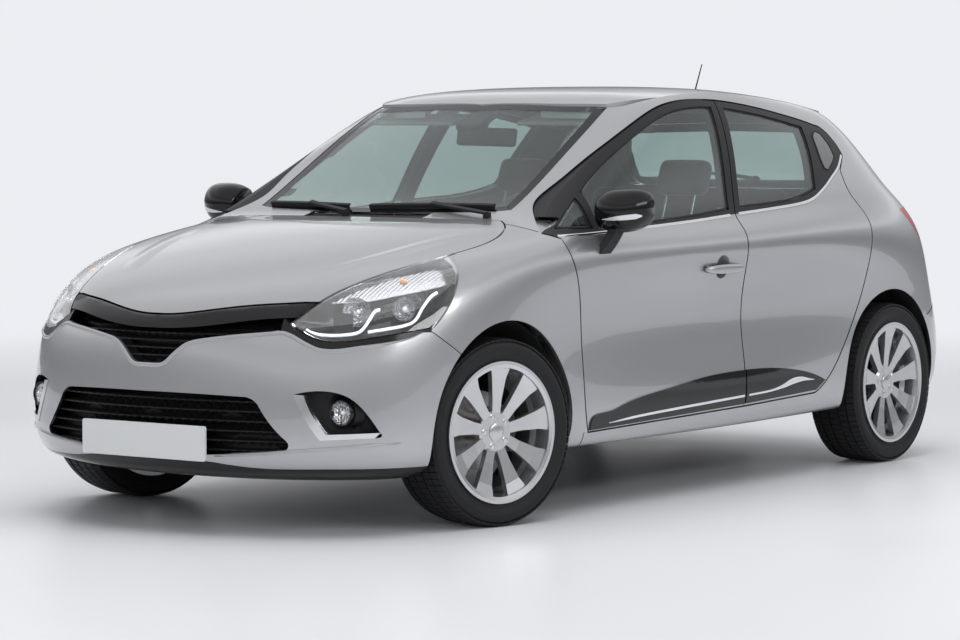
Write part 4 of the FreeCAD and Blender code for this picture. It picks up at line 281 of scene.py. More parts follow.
dash_plastic = grained("dash_plastic", (0.035, 0.036, 0.038), 0.62, 650.0, 0.0003)
indicator_clear = polished("indicator_clear", (0.66, 0.67, 0.68), 0.16, metal=0.4, coat=0.8)
amber = rippled("amber_bulb", (0.62, 0.30, 0.10), 0.18, 260.0, 0.0002, 0.3, coat=0.6)
# The light guide's emission is a painted glow: it shines though no other part of the headlamp emits light.
painted_glow_guide = rippled("light_guide", (0.80, 0.83, 0.88), 0.25, 300.0, 0.0002, 0.3, coat=0.6, emission=0.35)
bulb_glass = rippled("bulb_glass", (0.90, 0.93, 0.96), 0.05, 200.0, 0.0001, 0.2, metal=0.3, coat=1.0)
mirror_glass = rippled("mirror_glass", (0.72, 0.75, 0.77), 0.02, 3.0, 0.0001, 0.05, metal=1.0)
quarter_glass = rippled("quarter_glass", (0.030, 0.036, 0.036), 0.03, 2.0, 0.0001, 0.05, coat=1.0)
lamp_chrome = polished("lamp_chrome", (0.50, 0.51, 0.53), 0.14, metal=1.0)
bump(lamp_chrome, pattern(lamp_chrome, "Voronoi", "Distance", Scale=95.0), 0.004, 0.8)
chamber_chrome = finish("chamber_chrome", (0.34, 0.35, 0.37), 0.20, metal=1.0)
bump(chamber_chrome, pattern(chamber_chrome, "Wave", Scale=26.0, Distortion=0.3, bands_direction="X"), 0.003, 0.6)
red_lens = finish("red_lens", (0.33, 0.004, 0.007), 0.08, coat=0.5, transmission=0.10, ior=1.4, specular=0.3)
bump(red_lens, pattern(red_lens, "Wave", Scale=95.0, Distortion=0.0, bands_direction="X"), 0.0006, 0.35)
two_colours(red_lens, noise(red_lens, 14.0), (0.42, 0.004, 0.008), (0.60, 0.010, 0.014))
clear_lens = clear("clear_lens", (1, 1, 1), 0.01, 1.12)
cabin_glass = clear("cabin_glass", (0.53, 0.64, 0.615), 0.0, 1.10)
side_glass = clear("side_glass", (0.47, 0.575, 0.55), 0.0, 1.10)
seat_cloth = cloth("seat_cloth", (0.022, 0.023, 0.024), (0.036, 0.037, 0.038))
seat_side_cloth = cloth("seat_side_cloth", (0.024, 0.024, 0.026), (0.038, 0.038, 0.040), 820.0)
roof_cloth = cloth("roof_cloth", (0.26, 0.26, 0.255), (0.31, 0.31, 0.305), 900.0)
seam_thread = cloth("seam_thread", (0.012, 0.012, 0.013), (0.05, 0.05, 0.052), 1400.0)
print("materials", len(bpy.data.materials))

# %% [markdown]
# The paint is a metallic base under clear lacquer. Fine flakes tilt the normal
# a little, which gives the soft sparkle of silver, and a slow noise keeps the
# colour from being one flat value. The inside of a panel is dark trim: a face is
# inside when its normal points back to the middle of the cabin. The doors are
# black above the belt line. The bumpers have black parts too, whose edges
# follow lines that depend on the distance from the middle of the car.

# %% Panel paints
SILVER = (0.42, 0.425, 0.44)
TRIM_BLACK = (0.018, 0.018, 0.019)
LINER_GREY = (0.30, 0.30, 0.30)
CABIN_MIDDLE = (0, 0, 0.65)
BELT_LINE = [(-0.95, 0.932), (-0.785, 0.934), (-0.566, 0.938), (-0.144, 0.954), (0.355, 0.984), (0.813, 1.010),
             (0.978, 1.042), (1.185, 1.126), (1.32, 1.19)]
BAND_LINE = [(0.452, 0.651), (0.468, 0.6495), (0.493, 0.640), (0.536, 0.617), (0.575, 0.600), (0.618, 0.596),
             (0.670, 0.604), (0.725, 0.616), (0.771, 0.631), (0.792, 0.650)]
CHIN_LINE = [(0.0, 0.240), (0.246, 0.238), (0.298, 0.232), (0.403, 0.223), (0.606, 0.223), (0.716, 0.222),
             (0.870, 0.222)]
REAR_LINE = [(0.0, 0.385), (0.30, 0.384), (0.56, 0.372), (0.66, 0.330), (0.74, 0.262), (0.90, 0.255)]


def looks_inwards(material, limit=-0.15):
    """1 where the face's normal points back towards the middle of the cabin."""
    place = place_of(material)
    arm = node(material, "ShaderNodeVectorMath", operation="SUBTRACT")
    join(material, place.outputs["Object"], arm.inputs[0])
    arm.inputs[1].default_value = CABIN_MIDDLE
    dot = node(material, "ShaderNodeVectorMath", operation="DOT_PRODUCT")
    join(material, arm.outputs[0], dot.inputs[0])
    join(material, place.outputs["Normal"], dot.inputs[1])
    return calc(material, "LESS_THAN", dot.outputs["Value"], limit)


def panel_paint(name, inner_color=TRIM_BLACK):
    material = finish(name, SILVER, 0.30, metal=0.82, coat=1.0, coat_rough=0.02, specular=0.3)
    two_colours(material, noise(material, 1.3), (0.40, 0.405, 0.42), (0.44, 0.445, 0.46))
    bump(material, pattern(material, "Voronoi", "Distance", Scale=900.0), 0.00006, 0.35)
    bump(material, noise(material, 160), 0.0004, 0.02, "Coat Normal")
    covered(material, looks_inwards(material), inner_color, 0.0, 0.42, 0.0)
    return material


def from_middle(material):
    return calc(material, "ABSOLUTE", axes_of(material)["X"])


def under_line(material, table):
    return calc(material, "SUBTRACT", 1.0, over_line(material, from_middle(material), table))


body_paint = panel_paint("body_paint")
roof_paint = panel_paint("roof_paint", LINER_GREY)
door_paint = panel_paint("door_paint", (0.030, 0.030, 0.032))
black = over_line(door_paint, axes_of(door_paint)["Y"], BELT_LINE, 2.0)
covered(door_paint, black, (0.009, 0.009, 0.010), 0.0, 0.42, 0.0)
bumper_paint = panel_paint("bumper_paint")
away = from_middle(bumper_paint)
band = calc(bumper_paint, "MULTIPLY", over_line(bumper_paint, away, BAND_LINE),
            calc(bumper_paint, "GREATER_THAN", away, BAND_LINE[0][0] - 0.004))
black = calc(bumper_paint, "MAXIMUM", band, under_line(bumper_paint, CHIN_LINE))
covered(bumper_paint, black, (0.008, 0.008, 0.009), 0.0, 0.16, 0.15)
rear_bumper_paint = panel_paint("rear_bumper_paint")
covered(rear_bumper_paint, under_line(rear_bumper_paint, REAR_LINE), (0.022, 0.022, 0.023), 0.0, 0.55, 0.0)
print("paint colour", SILVER)

# %% Finishes of the frame's own nodes
node_finishes = {
    body_paint: "bonnet wings bodyside_left bodyside_right tailgate", roof_paint: "roof_panel",
    bumper_paint: "front_bumper", rear_bumper_paint: "rear_bumper", cabin_glass: "windscreen tailgate_glass",
    clear_lens: "headlamp_lenses", red_lens: "tail_lamps", satin_chrome: "fog_trims",
    gloss_black: "headlamp_units front_grilles mirror_left mirror_right", matt_black: "fog_lamps cowl wipers aerial",
    liner_felt: "arch_liners", cast_iron: "cooling_pack suspension knuckle_left knuckle_right",
    plate_grey: "front_plate", underbody: "platform", steel_pipe: "exhaust", engine_cast: "engine_block",
    seat_cloth: "front_seats rear_bench", dash_plastic: "dashboard steering_wheel",
    disc_steel: "brake_disc_front_left brake_disc_front_right",
}
finish_of = {name: material for material, names in node_finishes.items() for name in names.split()}
for corner in (end + "_" + side for side in sides for end in ends):
    finish_of.update({"door_" + corner: door_paint, "door_glass_" + corner: side_glass,
                      "door_trim_" + corner: gloss_black, "tyre_" + corner: tyre_rubber,
                      "rim_" + corner: wheel_silver})
for name, material in finish_of.items():
    slots = nodes[name].data.materials
    if not slots:
        slots.append(material)
    for index in range(len(slots)):
        slots[index] = material
print("nodes with a finish", len(finish_of), "of", len(nodes))

# %% [markdown]
# The studio. The floor takes the car's shadow and a soft reflection close to
# it, and fades into the pale backdrop further out, so there is no horizon.
# The camera and glass see the plain backdrop, while paint and chrome mirror a
# sky with brighter and darker bands, as softboxes would make.

# %% Floor, world and lamps
BACKDROP = (0.830, 0.850, 0.885)
FLOOR_REACH, FLOOR_STEPS, FLOOR_HEIGHT = 45, 96, -0.001

floor_mesh = bpy.data.meshes.new("studio_floor")
turns = np.linspace(0, 2 * math.pi, FLOOR_STEPS, endpoint=False)
floor_mesh.from_pydata([(math.cos(a) * FLOOR_REACH, math.sin(a) * FLOOR_REACH, FLOOR_HEIGHT) for a in turns], [],
                       [list(range(FLOOR_STEPS))])
floor = linked("studio_floor", floor_mesh)
material = finish("studio_floor", (0.80, 0.81, 0.83), 0.32, specular=0.35)
join(material, spread(material, noise(material, 0.8), 0.26, 0.38), shader_of(material).inputs["Roughness"])
glow = node(material, "ShaderNodeEmission", Color=(*BACKDROP, 1), Strength=1.0)
length = node(material, "ShaderNodeVectorMath", operation="LENGTH")
join(material, place_of(material).outputs["Object"], length.inputs[0])
fade = spread(material, length.outputs["Value"], 0.0, 1.0, 3.2, 9.5, interpolation_type="SMOOTHSTEP")
join(material, mixed(material, fade, shader_of(material).outputs[0], glow.outputs[0]),
     material.node_tree.nodes["Material Output"].inputs["Surface"])
floor_mesh.materials.append(material)

world = bpy.data.worlds.new("studio_world")
bpy.context.scene.world = world
world.use_nodes = True
sky = node(world, "ShaderNodeValToRGB")
sky.color_ramp.interpolation = "EASE"
for index, (position, color) in enumerate(((0.0, (0.20, 0.204, 0.215, 1)), (0.80, (0.74, 0.745, 0.765, 1)))):
    sky.color_ramp.elements[index].position = position
    sky.color_ramp.elements[index].color = color
for position, value in ((0.07, 0.24), (0.20, 0.52), (0.285, 1.10), (0.36, 0.80), (0.47, 0.62), (0.62, 0.86)):
    sky.color_ramp.elements.new(position).color = (value * 0.985, value * 0.99, value * 1.02, 1)
direction = node(world, "ShaderNodeSeparateXYZ")
join(world, node(world, "ShaderNodeTexCoord").outputs["Generated"], direction.inputs[0])
join(world, direction.outputs["Z"], sky.inputs["Fac"])
plain = node(world, "ShaderNodeBackground", Color=(0.80, 0.82, 0.85, 1), Strength=0.55)
mirrored = node(world, "ShaderNodeBackground")
join(world, sky.outputs["Color"], mirrored.inputs["Color"])
seen = node(world, "ShaderNodeBackground", Color=(*BACKDROP, 1), Strength=1.0)
ray = node(world, "ShaderNodeLightPath").outputs
first = mixed(world, ray["Is Glossy Ray"], plain.outputs[0], mirrored.outputs[0])
direct = calc(world, "MAXIMUM", ray["Is Camera Ray"], ray["Is Transmission Ray"])
join(world, mixed(world, direct, first, seen.outputs[0]), world.node_tree.nodes["World Output"].inputs["Surface"])


def lamp(name, place, aim, size, power, shows=False):
    data = bpy.data.lights.new(name, "AREA")
    data.shape = "RECTANGLE"
    data.size, data.size_y = size
    data.energy = power
    made = linked(name, data)
    made.location = place
    made.rotation_euler = (Vector(aim) - Vector(place)).to_track_quat("-Z", "Y").to_euler()
    made.visible_glossy = shows


lamp("overhead_lamp", (0.5, -0.6, 5.2), (0, 0, 0), (5.5, 6.5), 230)
lamp("front_lamp", (2.5, -7.5, 3.2), (0, -1.2, 0.6), (4.5, 2.5), 120)
lamp("side_lamp", (7.0, -0.5, 3.4), (0.4, 0.2, 0.7), (5.5, 1.2), 90, True)
lamp("back_lamp", (-4.0, 5.5, 4.0), (0, 0.5, 0.8), (5.0, 2.5), 80)
bpy.context.scene.view_settings.view_transform = "Standard"
print("stage ready")

# %% [markdown]
# Three ways make most of the fine pieces. A section turned about an axis makes
# round things, a section drawn along a line makes strips and seals, and a ring
# of copies made by Geometry Nodes makes bolts and tread. The next cells hold
# these three and the probes that find where a line meets the car's skin.

# %% Helpers for meshes
MERGE_GAP = 0.00001
COPY_MERGE_GAP = 0.00002


def new_mesh(name, points, faces):
    mesh = bpy.data.meshes.new(name)
    mesh.from_pydata([tuple(p) for p in points], [], faces)
    return mesh


def mesh_of(work, name):
    """Turns a bmesh into a mesh and frees it."""
    mesh = bpy.data.meshes.new(name)
    work.to_mesh(mesh)
    work.free()
    return mesh


def merged(mesh, gap, outward=False):
    work = bmesh.new()
    work.from_mesh(mesh)
    bmesh.ops.remove_doubles(work, verts=work.verts, dist=gap)
    if outward:
        bmesh.ops.recalc_face_normals(work, faces=work.faces)
    work.to_mesh(mesh)
    work.free()


def shaded(mesh, angle):
    mesh.shade_smooth()
    mesh.set_sharp_from_angle(angle=math.radians(angle))


def dress(name, mesh, material, body, smooth_angle=35.0, outward=True):
    """A finished piece with its place in its mesh, riding on a body."""
    piece = linked(name, mesh)
    merged(mesh, MERGE_GAP, outward)
    mesh.materials.clear()
    mesh.materials.append(material)
    shaded(mesh, smooth_angle)
    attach(piece, body)
    return piece


def make_piece(name, points, faces, material, body, smooth_angle=35.0):
    return dress(name, new_mesh(name, points, faces), material, body, smooth_angle)


def stand_in(name, source, mesh, body):
    """Shows a changed copy of a node's mesh in the place of the node."""
    mesh.name = name
    merged(mesh, COPY_MERGE_GAP)
    shaded(mesh, 32)
    piece = linked(name, mesh)
    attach(piece, body)
    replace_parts(piece, source)


def placed(mesh, place):
    """A copy of a mesh, moved."""
    other = mesh.copy()
    other.transform(place)
    return other


def made_by(holder, name):
    """The plain mesh that an object's modifiers make. The object goes."""
    shown = bpy.context.evaluated_depsgraph_get()
    mesh = bpy.data.meshes.new_from_object(holder.evaluated_get(shown), depsgraph=shown)
    mesh.name = name
    bpy.data.objects.remove(holder)
    return mesh


def one_mesh(name, meshes):
    work = bmesh.new()
    for mesh in meshes:
        work.from_mesh(mesh)
    return mesh_of(work, name)


def grid_faces(rows, across, ring_rows=False, ring_across=False):
    """Quads between rows of points, closed on themselves where asked."""
    return [(k * across + i, k * across + (i + 1) % across,
             (k + 1) % rows * across + (i + 1) % across, (k + 1) % rows * across + i)
            for k in range(rows if ring_rows else rows - 1) for i in range(across if ring_across else across - 1)]


def fan_faces(first, across, tip):
    return [(first + i, first + (i + 1) % across, tip) for i in range(across)]


print("mesh helpers ready")


# %% Probes: where a straight line meets a skin
def tree_of(mesh):
    return BVHTree.FromPolygons([v.co.copy() for v in mesh.vertices], [list(p.vertices) for p in mesh.polygons])


def skin_tree(name):
    return tree_of(nodes[name].data)


def on_tree(tree, start, way, lift=0.0):
    """The place and the outward normal, or None."""
    start, way = Vector(start), Vector(way)
    hit, normal, _, _ = tree.ray_cast(start, way)
    if hit is None:
        return None
    if normal.dot(way) > 0:
        normal = -normal
    return hit + normal * lift, normal


# Each probe starts well outside the car, whose half width is below 1 m.
def from_side(tree, side, lift=0.0):
    return lambda y, z: on_tree(tree, (side * 1.5, y, z), (-side, 0, 0), lift)


def from_front(tree, lift=0.0):
    return lambda x, z: on_tree(tree, (x, -3.0, z), (0, 1, 0), lift)


def from_back(tree, lift=0.0):
    return lambda x, z: on_tree(tree, (x, 4.0, z), (0, -1, 0), lift)


def from_above(tree, lift=0.0):
    return lambda x, y: on_tree(tree, (x, y, 3.0), (0, 0, -1), lift)


def laid(probe, line):
    """Where the places of a line lie on a skin, and the normals there."""
    found = [spot for spot in (probe(*place) for place in line) if spot]
    return [place for place, _ in found], [normal for _, normal in found]


print("probes ready")


# %% Sections: drawn along a line, or turned about the X axis
def rounded_line(places, count):
    """Places on a smooth line through the given ones, evenly spread."""
    given = np.array(places, float)
    grown = np.vstack([2 * given[0] - given[1], given, 2 * given[-1] - given[-2]])
    out = []
    for k in range(len(given) - 1):
        a, b, c, d = grown[k:k + 4]
        for t in np.linspace(0, 1, 24, endpoint=False):
            out.append(0.5 * (2 * b + (c - a) * t + (2 * a - 5 * b + 4 * c - d) * t * t
                              + (3 * b - a - 3 * c + d) * t ** 3))
    out = np.array(out + [given[-1]])
    steps = np.concatenate([[0], np.cumsum(np.linalg.norm(np.diff(out, axis=0), axis=1))])
    wanted = np.linspace(0, steps[-1], count)
    return np.column_stack([np.interp(wanted, steps, out[:, i]) for i in range(out.shape[1])])


def mound(*half):
    """A section, as (across, out) places, from one half of it."""
    return [(-a, out) for a, out in half] + [(a, out) for a, out in reversed(half) if a]


def thin_ends(least, steep):
    """A taper that narrows to a share of the width at both ends."""
    return lambda t: least + (1 - least) * min(1, t * steep, (1 - t) * steep)


def drawn_strip(name, places, normals, section, material, body, closed=False, taper=None):
    """Draws a section along a line on the skin."""
    count, size = len(places), len(section)
    points = []
    for k in range(count):
        before = places[k - 1 if (k > 0 or closed) else k]
        after = places[(k + 1) % count if (k < count - 1 or closed) else k]
        along = (after - before).normalized()
        out = (normals[k] - along * normals[k].dot(along)).normalized()
        across = along.cross(out)
        scale = taper(k / (count - 1.0)) if taper else 1.0
        points += [places[k] + across * (a * scale) + out * o for a, o in section]
    faces = grid_faces(count, size, closed, True)
    if not closed:
        faces += [tuple(range(size)), tuple(range((count - 1) * size, count * size))]
    return make_piece(name, points, faces, material, body, 40)


def laid_strip(name, probe, line, count, section, material, body, **more):
    """A strip along a smooth line that is laid on a skin."""
    return drawn_strip(name, *laid(probe, rounded_line(line, count)), section, material, body, **more)


def turned_mesh(name, section, steps=64, closed=False):
    """Turns (along, radius) places about the X axis."""
    points = [(a, r * math.cos(2 * math.pi * k / steps), r * math.sin(2 * math.pi * k / steps))
              for k in range(steps) for a, r in section]
    return new_mesh(name, points, [(a, d, c, b) for a, b, c, d in grid_faces(steps, len(section), True, closed)])


def block_mesh(name, size, slant=0.0, edge=0.0006):
    """A small block with chamfered edges, its middle at the origin."""
    work = bmesh.new()
    bmesh.ops.create_cube(work, size=1.0)
    for v in work.verts:
        v.co = v.co * Vector(size)
        v.co.z -= slant * v.co.x
    bmesh.ops.bevel(work, geom=work.edges[:], offset=edge, segments=1, affect="EDGES")
    return mesh_of(work, name)


print("sections ready")

# %% [markdown]
# This tree puts copies of one small mesh on a ring about the X axis. It is used
# for the tyre blocks and the wheel bolts. The copies are realised at the end
# because the export keeps only real faces.


# %% Geometry Nodes: a ring of copies
def ring_tree():
    tree = bpy.data.node_groups.new("ring_of_copies", "GeometryNodeTree")
    for name, kind in (("Geometry", "Geometry"), ("Copy", "Object"), ("Count", "Int"), ("Radius", "Float"),
                       ("Along", "Float"), ("Phase", "Float"), ("Finish", "Material")):
        tree.interface.new_socket(name=name, in_out="INPUT", socket_type="NodeSocket" + kind)
    tree.interface.new_socket(name="Geometry", in_out="OUTPUT", socket_type="NodeSocketGeometry")

    def step(kind, setting=None, **inputs):
        """A node whose inputs, named or numbered as in_0, take sockets or numbers."""
        made = tree.nodes.new(kind)
        if setting:
            made.operation = setting
        for key, value in inputs.items():
            into = made.inputs[int(key[3:]) if key.startswith("in_") else key]
            if isinstance(value, (int, float)):
                into.default_value = value
            else:
                tree.links.new(value, into)
        return made.outputs[0] if made.outputs else None

    def calc_step(kind, first, second=0.5):
        return step("ShaderNodeMath", kind, in_0=first, in_1=second)

    given = tree.nodes.new("NodeGroupInput").outputs
    share = calc_step("DIVIDE", step("GeometryNodeInputIndex"), given["Count"])
    turn = calc_step("ADD", calc_step("MULTIPLY", share, 2 * math.pi), given["Phase"])
    across = calc_step("MULTIPLY", calc_step("MULTIPLY", calc_step("SINE", turn), -1.0), given["Radius"])
    up = calc_step("MULTIPLY", calc_step("COSINE", turn), given["Radius"])
    place = step("ShaderNodeCombineXYZ", X=given["Along"], Y=across, Z=up)
    points = step("GeometryNodePoints", Count=given["Count"], Position=place)
    rotation = step("FunctionNodeEulerToRotation", in_0=step("ShaderNodeCombineXYZ", X=turn))
    copy = tree.nodes.new("GeometryNodeObjectInfo")
    tree.links.new(given["Copy"], copy.inputs["Object"])
    copies = step("GeometryNodeInstanceOnPoints", Points=points, Instance=copy.outputs["Geometry"],
                  Rotation=rotation)
    real = step("GeometryNodeRealizeInstances", in_0=copies)
    coloured = step("GeometryNodeSetMaterial", Geometry=real, Material=given["Finish"])
    step("NodeGroupOutput", in_0=coloured)
    return tree


RING = ring_tree()


def ring_mesh(name, copy_mesh, count, radius, along, phase, material):
    """Runs the tree on an empty mesh and gives the plain mesh it makes."""
    copy = linked("one_copy", copy_mesh)
    holder = linked("holder", bpy.data.meshes.new("holder"))
    modifier = holder.modifiers.new("nodes", "NODES")
    modifier.node_group = RING
    given = {"Copy": copy, "Count": count, "Radius": radius, "Along": along, "Phase": phase, "Finish": material}
    for item in RING.interface.items_tree:
        if item.name in given:
            modifier[item.identifier] = given[item.name]
    mesh = made_by(holder, name)
    bpy.data.objects.remove(copy)
    return mesh


print("tree", RING.name, len(RING.nodes), "nodes")

# %% [markdown]
# A road tyre is a smooth carcass with a tread cut into it. The carcass here is
# a turned section with ribs on the side wall, and the tread is five rows of
# blocks, so the long grooves and the cross cuts are real gaps. Blocks on a ring
# are what the tree above makes.

# %% Tyres with a cut tread
WHEELS = {
    "front_left": ((0.752563, -1.191158, 0.308), (0.978148, -0.207912, 0)),
    "front_right": ((-0.752563, -1.182842, 0.308), (-0.978148, 0.207912, 0)),
    "rear_left": ((0.753, 1.402, 0.308), (1, 0, 0)),
    "rear_right": ((-0.753, 1.402, 0.308), (-1, 0, 0)),
}
TREAD_BLOCKS, CROSS_CUT, TREAD_DEPTH = 78, 0.0022, 0.0060


def wheel_frame(corner):
    """From a wheel's own axes, with +X outwards, to the car's."""
    middle, out = WHEELS[corner]
    out = Vector(out).normalized()
    up = Vector((0, 0, 1))
    return Matrix.Translation(middle) @ Matrix((out, up.cross(out), up)).transposed().to_4x4()


carcass_half = [
    (0.0, 0.3010), (0.060, 0.3008), (0.078, 0.3000), (0.0895, 0.2978), (0.0965, 0.2935), (0.1005, 0.2870),
    (0.1018, 0.2790), (0.1010, 0.2730), (0.1019, 0.2715), (0.1016, 0.2680), (0.1000, 0.2640), (0.0996, 0.2600),
    (0.0975, 0.2540), (0.0955, 0.2480), (0.0962, 0.2460), (0.0958, 0.2425), (0.0935, 0.2395), (0.0925, 0.2345),
    (0.0905, 0.2335), (0.0895, 0.2175), (0.0700, 0.2175), (0.0700, 0.2260), (0.0850, 0.2450), (0.0900, 0.2700),
    (0.0840, 0.2860), (0.0, 0.2930)]
carcass = carcass_half + [(-a, r) for a, r in reversed(carcass_half[1:-1])]
tread_rows = [(-0.0800, 0.0340, 0.3030, 0.16), (-0.0405, 0.0330, 0.3046, 0.02), (0.0, 0.0360, 0.3049, 0.0),
              (0.0405, 0.0330, 0.3046, -0.02), (0.0800, 0.0340, 0.3030, -0.16)]
tyre_parts = [turned_mesh("carcass", carcass, 128, closed=True)]
for index, (along, wide, radius, lean) in enumerate(tread_rows):
    length = 2 * math.pi * radius / TREAD_BLOCKS - CROSS_CUT
    block = block_mesh("tread_block", (wide, length, TREAD_DEPTH), -lean)
    phase = 0.02 * (index % 2) + 0.013 * index
    tyre_parts.append(ring_mesh("tread_row", block, TREAD_BLOCKS, radius - 0.0001, along, phase, tyre_rubber))
tyre_shape = one_mesh("tyre_shape", tyre_parts)
for corner in WHEELS:
    mesh = placed(tyre_shape, wheel_frame(corner))
    tyre = dress("road_tyre_" + corner, mesh, tyre_rubber, "wheel_" + corner, 32, outward=False)
    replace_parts(tyre, "tyre_" + corner)
print("tyre faces", len(tyre_shape.polygons))

# %% [markdown]
# Each wheel is held by five bolts in deep holes round a plain cap. The rim's
# solid has the spokes, so only the bolts, the cap and the valve are added.

# %% Wheel bolts, caps and valves
HUB_FACE = 0.0684
BOLT_CIRCLE = 0.050
TIP = 0.0001  # the radius where a turned section ends on its axis

bolt = one_mesh("bolt", [
    turned_mesh("bolt_head", [(-0.004, TIP), (-0.004, 0.0098), (0.0, 0.0100), (0.0030, 0.0092), (0.0034, 0.0070),
                              (0.0012, 0.0062), (0.0012, TIP)], 6),
    turned_mesh("bolt_collar", [(-0.004, 0.0128), (0.0004, 0.0134), (0.0010, 0.0122), (-0.0010, 0.0105),
                                (-0.004, 0.0104)], 20)])
bolts = ring_mesh("bolts", bolt, 5, BOLT_CIRCLE, HUB_FACE + 0.0005, 0.30, satin_chrome)
cap = turned_mesh("cap", [(HUB_FACE + rise, radius) for rise, radius in (
    (-0.004, 0.0315), (0.0030, 0.0310), (0.0052, 0.0285), (0.0058, 0.0240), (0.0050, 0.0228), (0.0062, 0.0180),
    (0.0068, TIP))], 48)
valve = turned_mesh("valve", [(0.0, 0.0040), (0.018, 0.0036), (0.030, 0.0030), (0.034, 0.0040), (0.040, 0.0040),
                              (0.040, TIP)], 16)
valve.transform(Matrix.Translation((0.062, 0.0, -0.196)))
for corner in WHEELS:
    for label, source, material in (("wheel_bolts_", bolts, satin_chrome), ("wheel_cap_", cap, wheel_silver),
                                    ("tyre_valve_", valve, seal_rubber)):
        dress(label + corner, placed(source, wheel_frame(corner)), material, "wheel_" + corner)
print("bolts", len(bolts.polygons))

# %% [markdown]
# Bright strips run along the belt line below the side windows and along the
# lower door trims. Each is one section drawn along a line, and the line is
# dropped onto the door's own skin, so the strip follows its curve exactly.

# %% Chrome strips on the doors
STRIP_LIFT = 0.0002
belts = {"front": [(-0.838, 0.9360), (-0.785, 0.9355), (-0.566, 0.9400), (-0.144, 0.9555), (0.120, 0.9680),
                   (0.306, 0.9790)],
         "rear": [(0.332, 0.9815), (0.600, 0.9965), (0.813, 1.0110), (0.930, 1.0290), (1.040, 1.0660),
                  (1.130, 1.1050), (1.210, 1.1400), (1.285, 1.1870)]}
inserts = {"front": [(-0.600, 0.2960), (-0.400, 0.3070), (-0.184, 0.3150), (0.060, 0.3230), (0.282, 0.3300)],
           "rear": [(0.312, 0.3310), (0.460, 0.3370), (0.555, 0.3480), (0.620, 0.3610), (0.690, 0.3660),
                    (0.775, 0.3590)]}
insert_tapers = {
    "front": lambda t: 0.35 + 0.65 * min(1, t * 6),
    "rear": lambda t: 0.9 + 2.0 * math.exp(-((t - 0.72) / 0.20) ** 2) * (1 - t) ** 0.25 - 0.75 * t ** 8}
for side_name, side in sides.items():
    for end in ends:
        corner = end + "_" + side_name
        door = "door_" + corner
        laid_strip("belt_strip_" + corner, from_side(skin_tree(door), side, STRIP_LIFT), belts[end], 60,
                   mound((0.0060, -0.0010), (0.0055, 0.0018), (0.0030, 0.0030)), chrome, door)
        laid_strip("trim_insert_" + corner, from_side(skin_tree("door_trim_" + corner), side, STRIP_LIFT),
                   inserts[end], 48, mound((0.0050, -0.0008), (0.0044, 0.0016), (0, 0.0024)), chrome, door,
                   taper=insert_tapers[end])
print("belt and trim strips", len(sides) * len(ends) * 2)

# %% [markdown]
# Rubber seals close the gap between glass and frame. Each is a band inside a
# pane's outline. A place on the outline is found by stepping in from outside,
# along a line to the pane's middle, until the glass is met.


# %% Window seals
RAY_STEP, HALVINGS = 0.006, 7
BAND_LIFT = 0.0004


def loose_parts(mesh):
    """A tree and a box for each loose part of a mesh."""
    work = bmesh.new()
    work.from_mesh(mesh)
    bmesh.ops.remove_doubles(work, verts=work.verts, dist=0.00005)
    seen, found = set(), []
    for start in work.verts:
        if start in seen:
            continue
        seen.add(start)
        group = [start]
        for one in group:
            for edge in one.link_edges:
                other = edge.other_vert(one)
                if other not in seen:
                    seen.add(other)
                    group.append(other)
        index = {v: i for i, v in enumerate(group)}
        points = [v.co.copy() for v in group]
        tree = BVHTree.FromPolygons(points, [[index[v] for v in f.verts] for f in work.faces if f.verts[0] in index])
        found.append((tree, *[[pick(p[i] for p in points) for i in range(3)] for pick in (min, max)]))
    work.free()
    return found


def pane_line(probe, middle, reach, count):
    """Places on a pane's edge, along lines that all meet in its middle."""
    def meets(way, r):
        return probe(middle[0] + way[0] * r, middle[1] + way[1] * r) is not None

    line = []
    for k in range(count):
        way = (math.cos(2 * math.pi * k / count), math.sin(2 * math.pi * k / count))
        inside = reach
        while inside > 0 and not meets(way, inside):
            outside = inside
            inside -= RAY_STEP
        if inside == reach or inside <= 0:
            continue
        for _ in range(HALVINGS):
            half = (inside + outside) / 2
            if meets(way, half):
                inside = half
            else:
                outside = half
        line.append(np.array([middle[i] + way[i] * inside for i in range(2)]))
    return line


def edge_band(name, probe, axes, low, high, width, material, body, count=160, rise=0.0):
    """A band inside a pane's edge, with its middle raised where rise is given."""
    low, high = [[corner[i] for i in axes] for corner in (low, high)]
    middle = [(a + b) / 2 for a, b in zip(low, high)]
    line = pane_line(probe, middle, math.dist(low, high) * 0.55, count)
    steps = ((0.0010, 0.0), (0.0022, rise), (width * 0.5, rise), (width, 0.0))
    rows = []
    for k, here in enumerate(line):
        along = line[(k + 1) % len(line)] - line[k - 1]
        inward = np.array((-along[1], along[0])) / np.linalg.norm(along)
        row = [(probe(*(here + inward * step)), up) for step, up in steps]
        if all(spot for spot, _ in row):
            rows.append([place + normal * up for (place, normal), up in row])
    make_piece(name, [p for row in rows for p in row], grid_faces(len(rows), len(steps), True), material, body, 50)


for side_name, side in sides.items():
    for corner in (end + "_" + side_name for end in ends):
        for index, (tree, low, high) in enumerate(loose_parts(nodes["door_glass_" + corner].data)):
            edge_band("window_seal_%s_%d" % (corner, index), from_side(tree, side, BAND_LIFT), (1, 2), low, high,
                      0.0075, seal_rubber, "door_" + corner, rise=0.0022)

# %% [markdown]
# The front bumper has a rolled lip round the upper grille and under each lamp,
# which catches the light as one bright line, and a softer one along its chin.

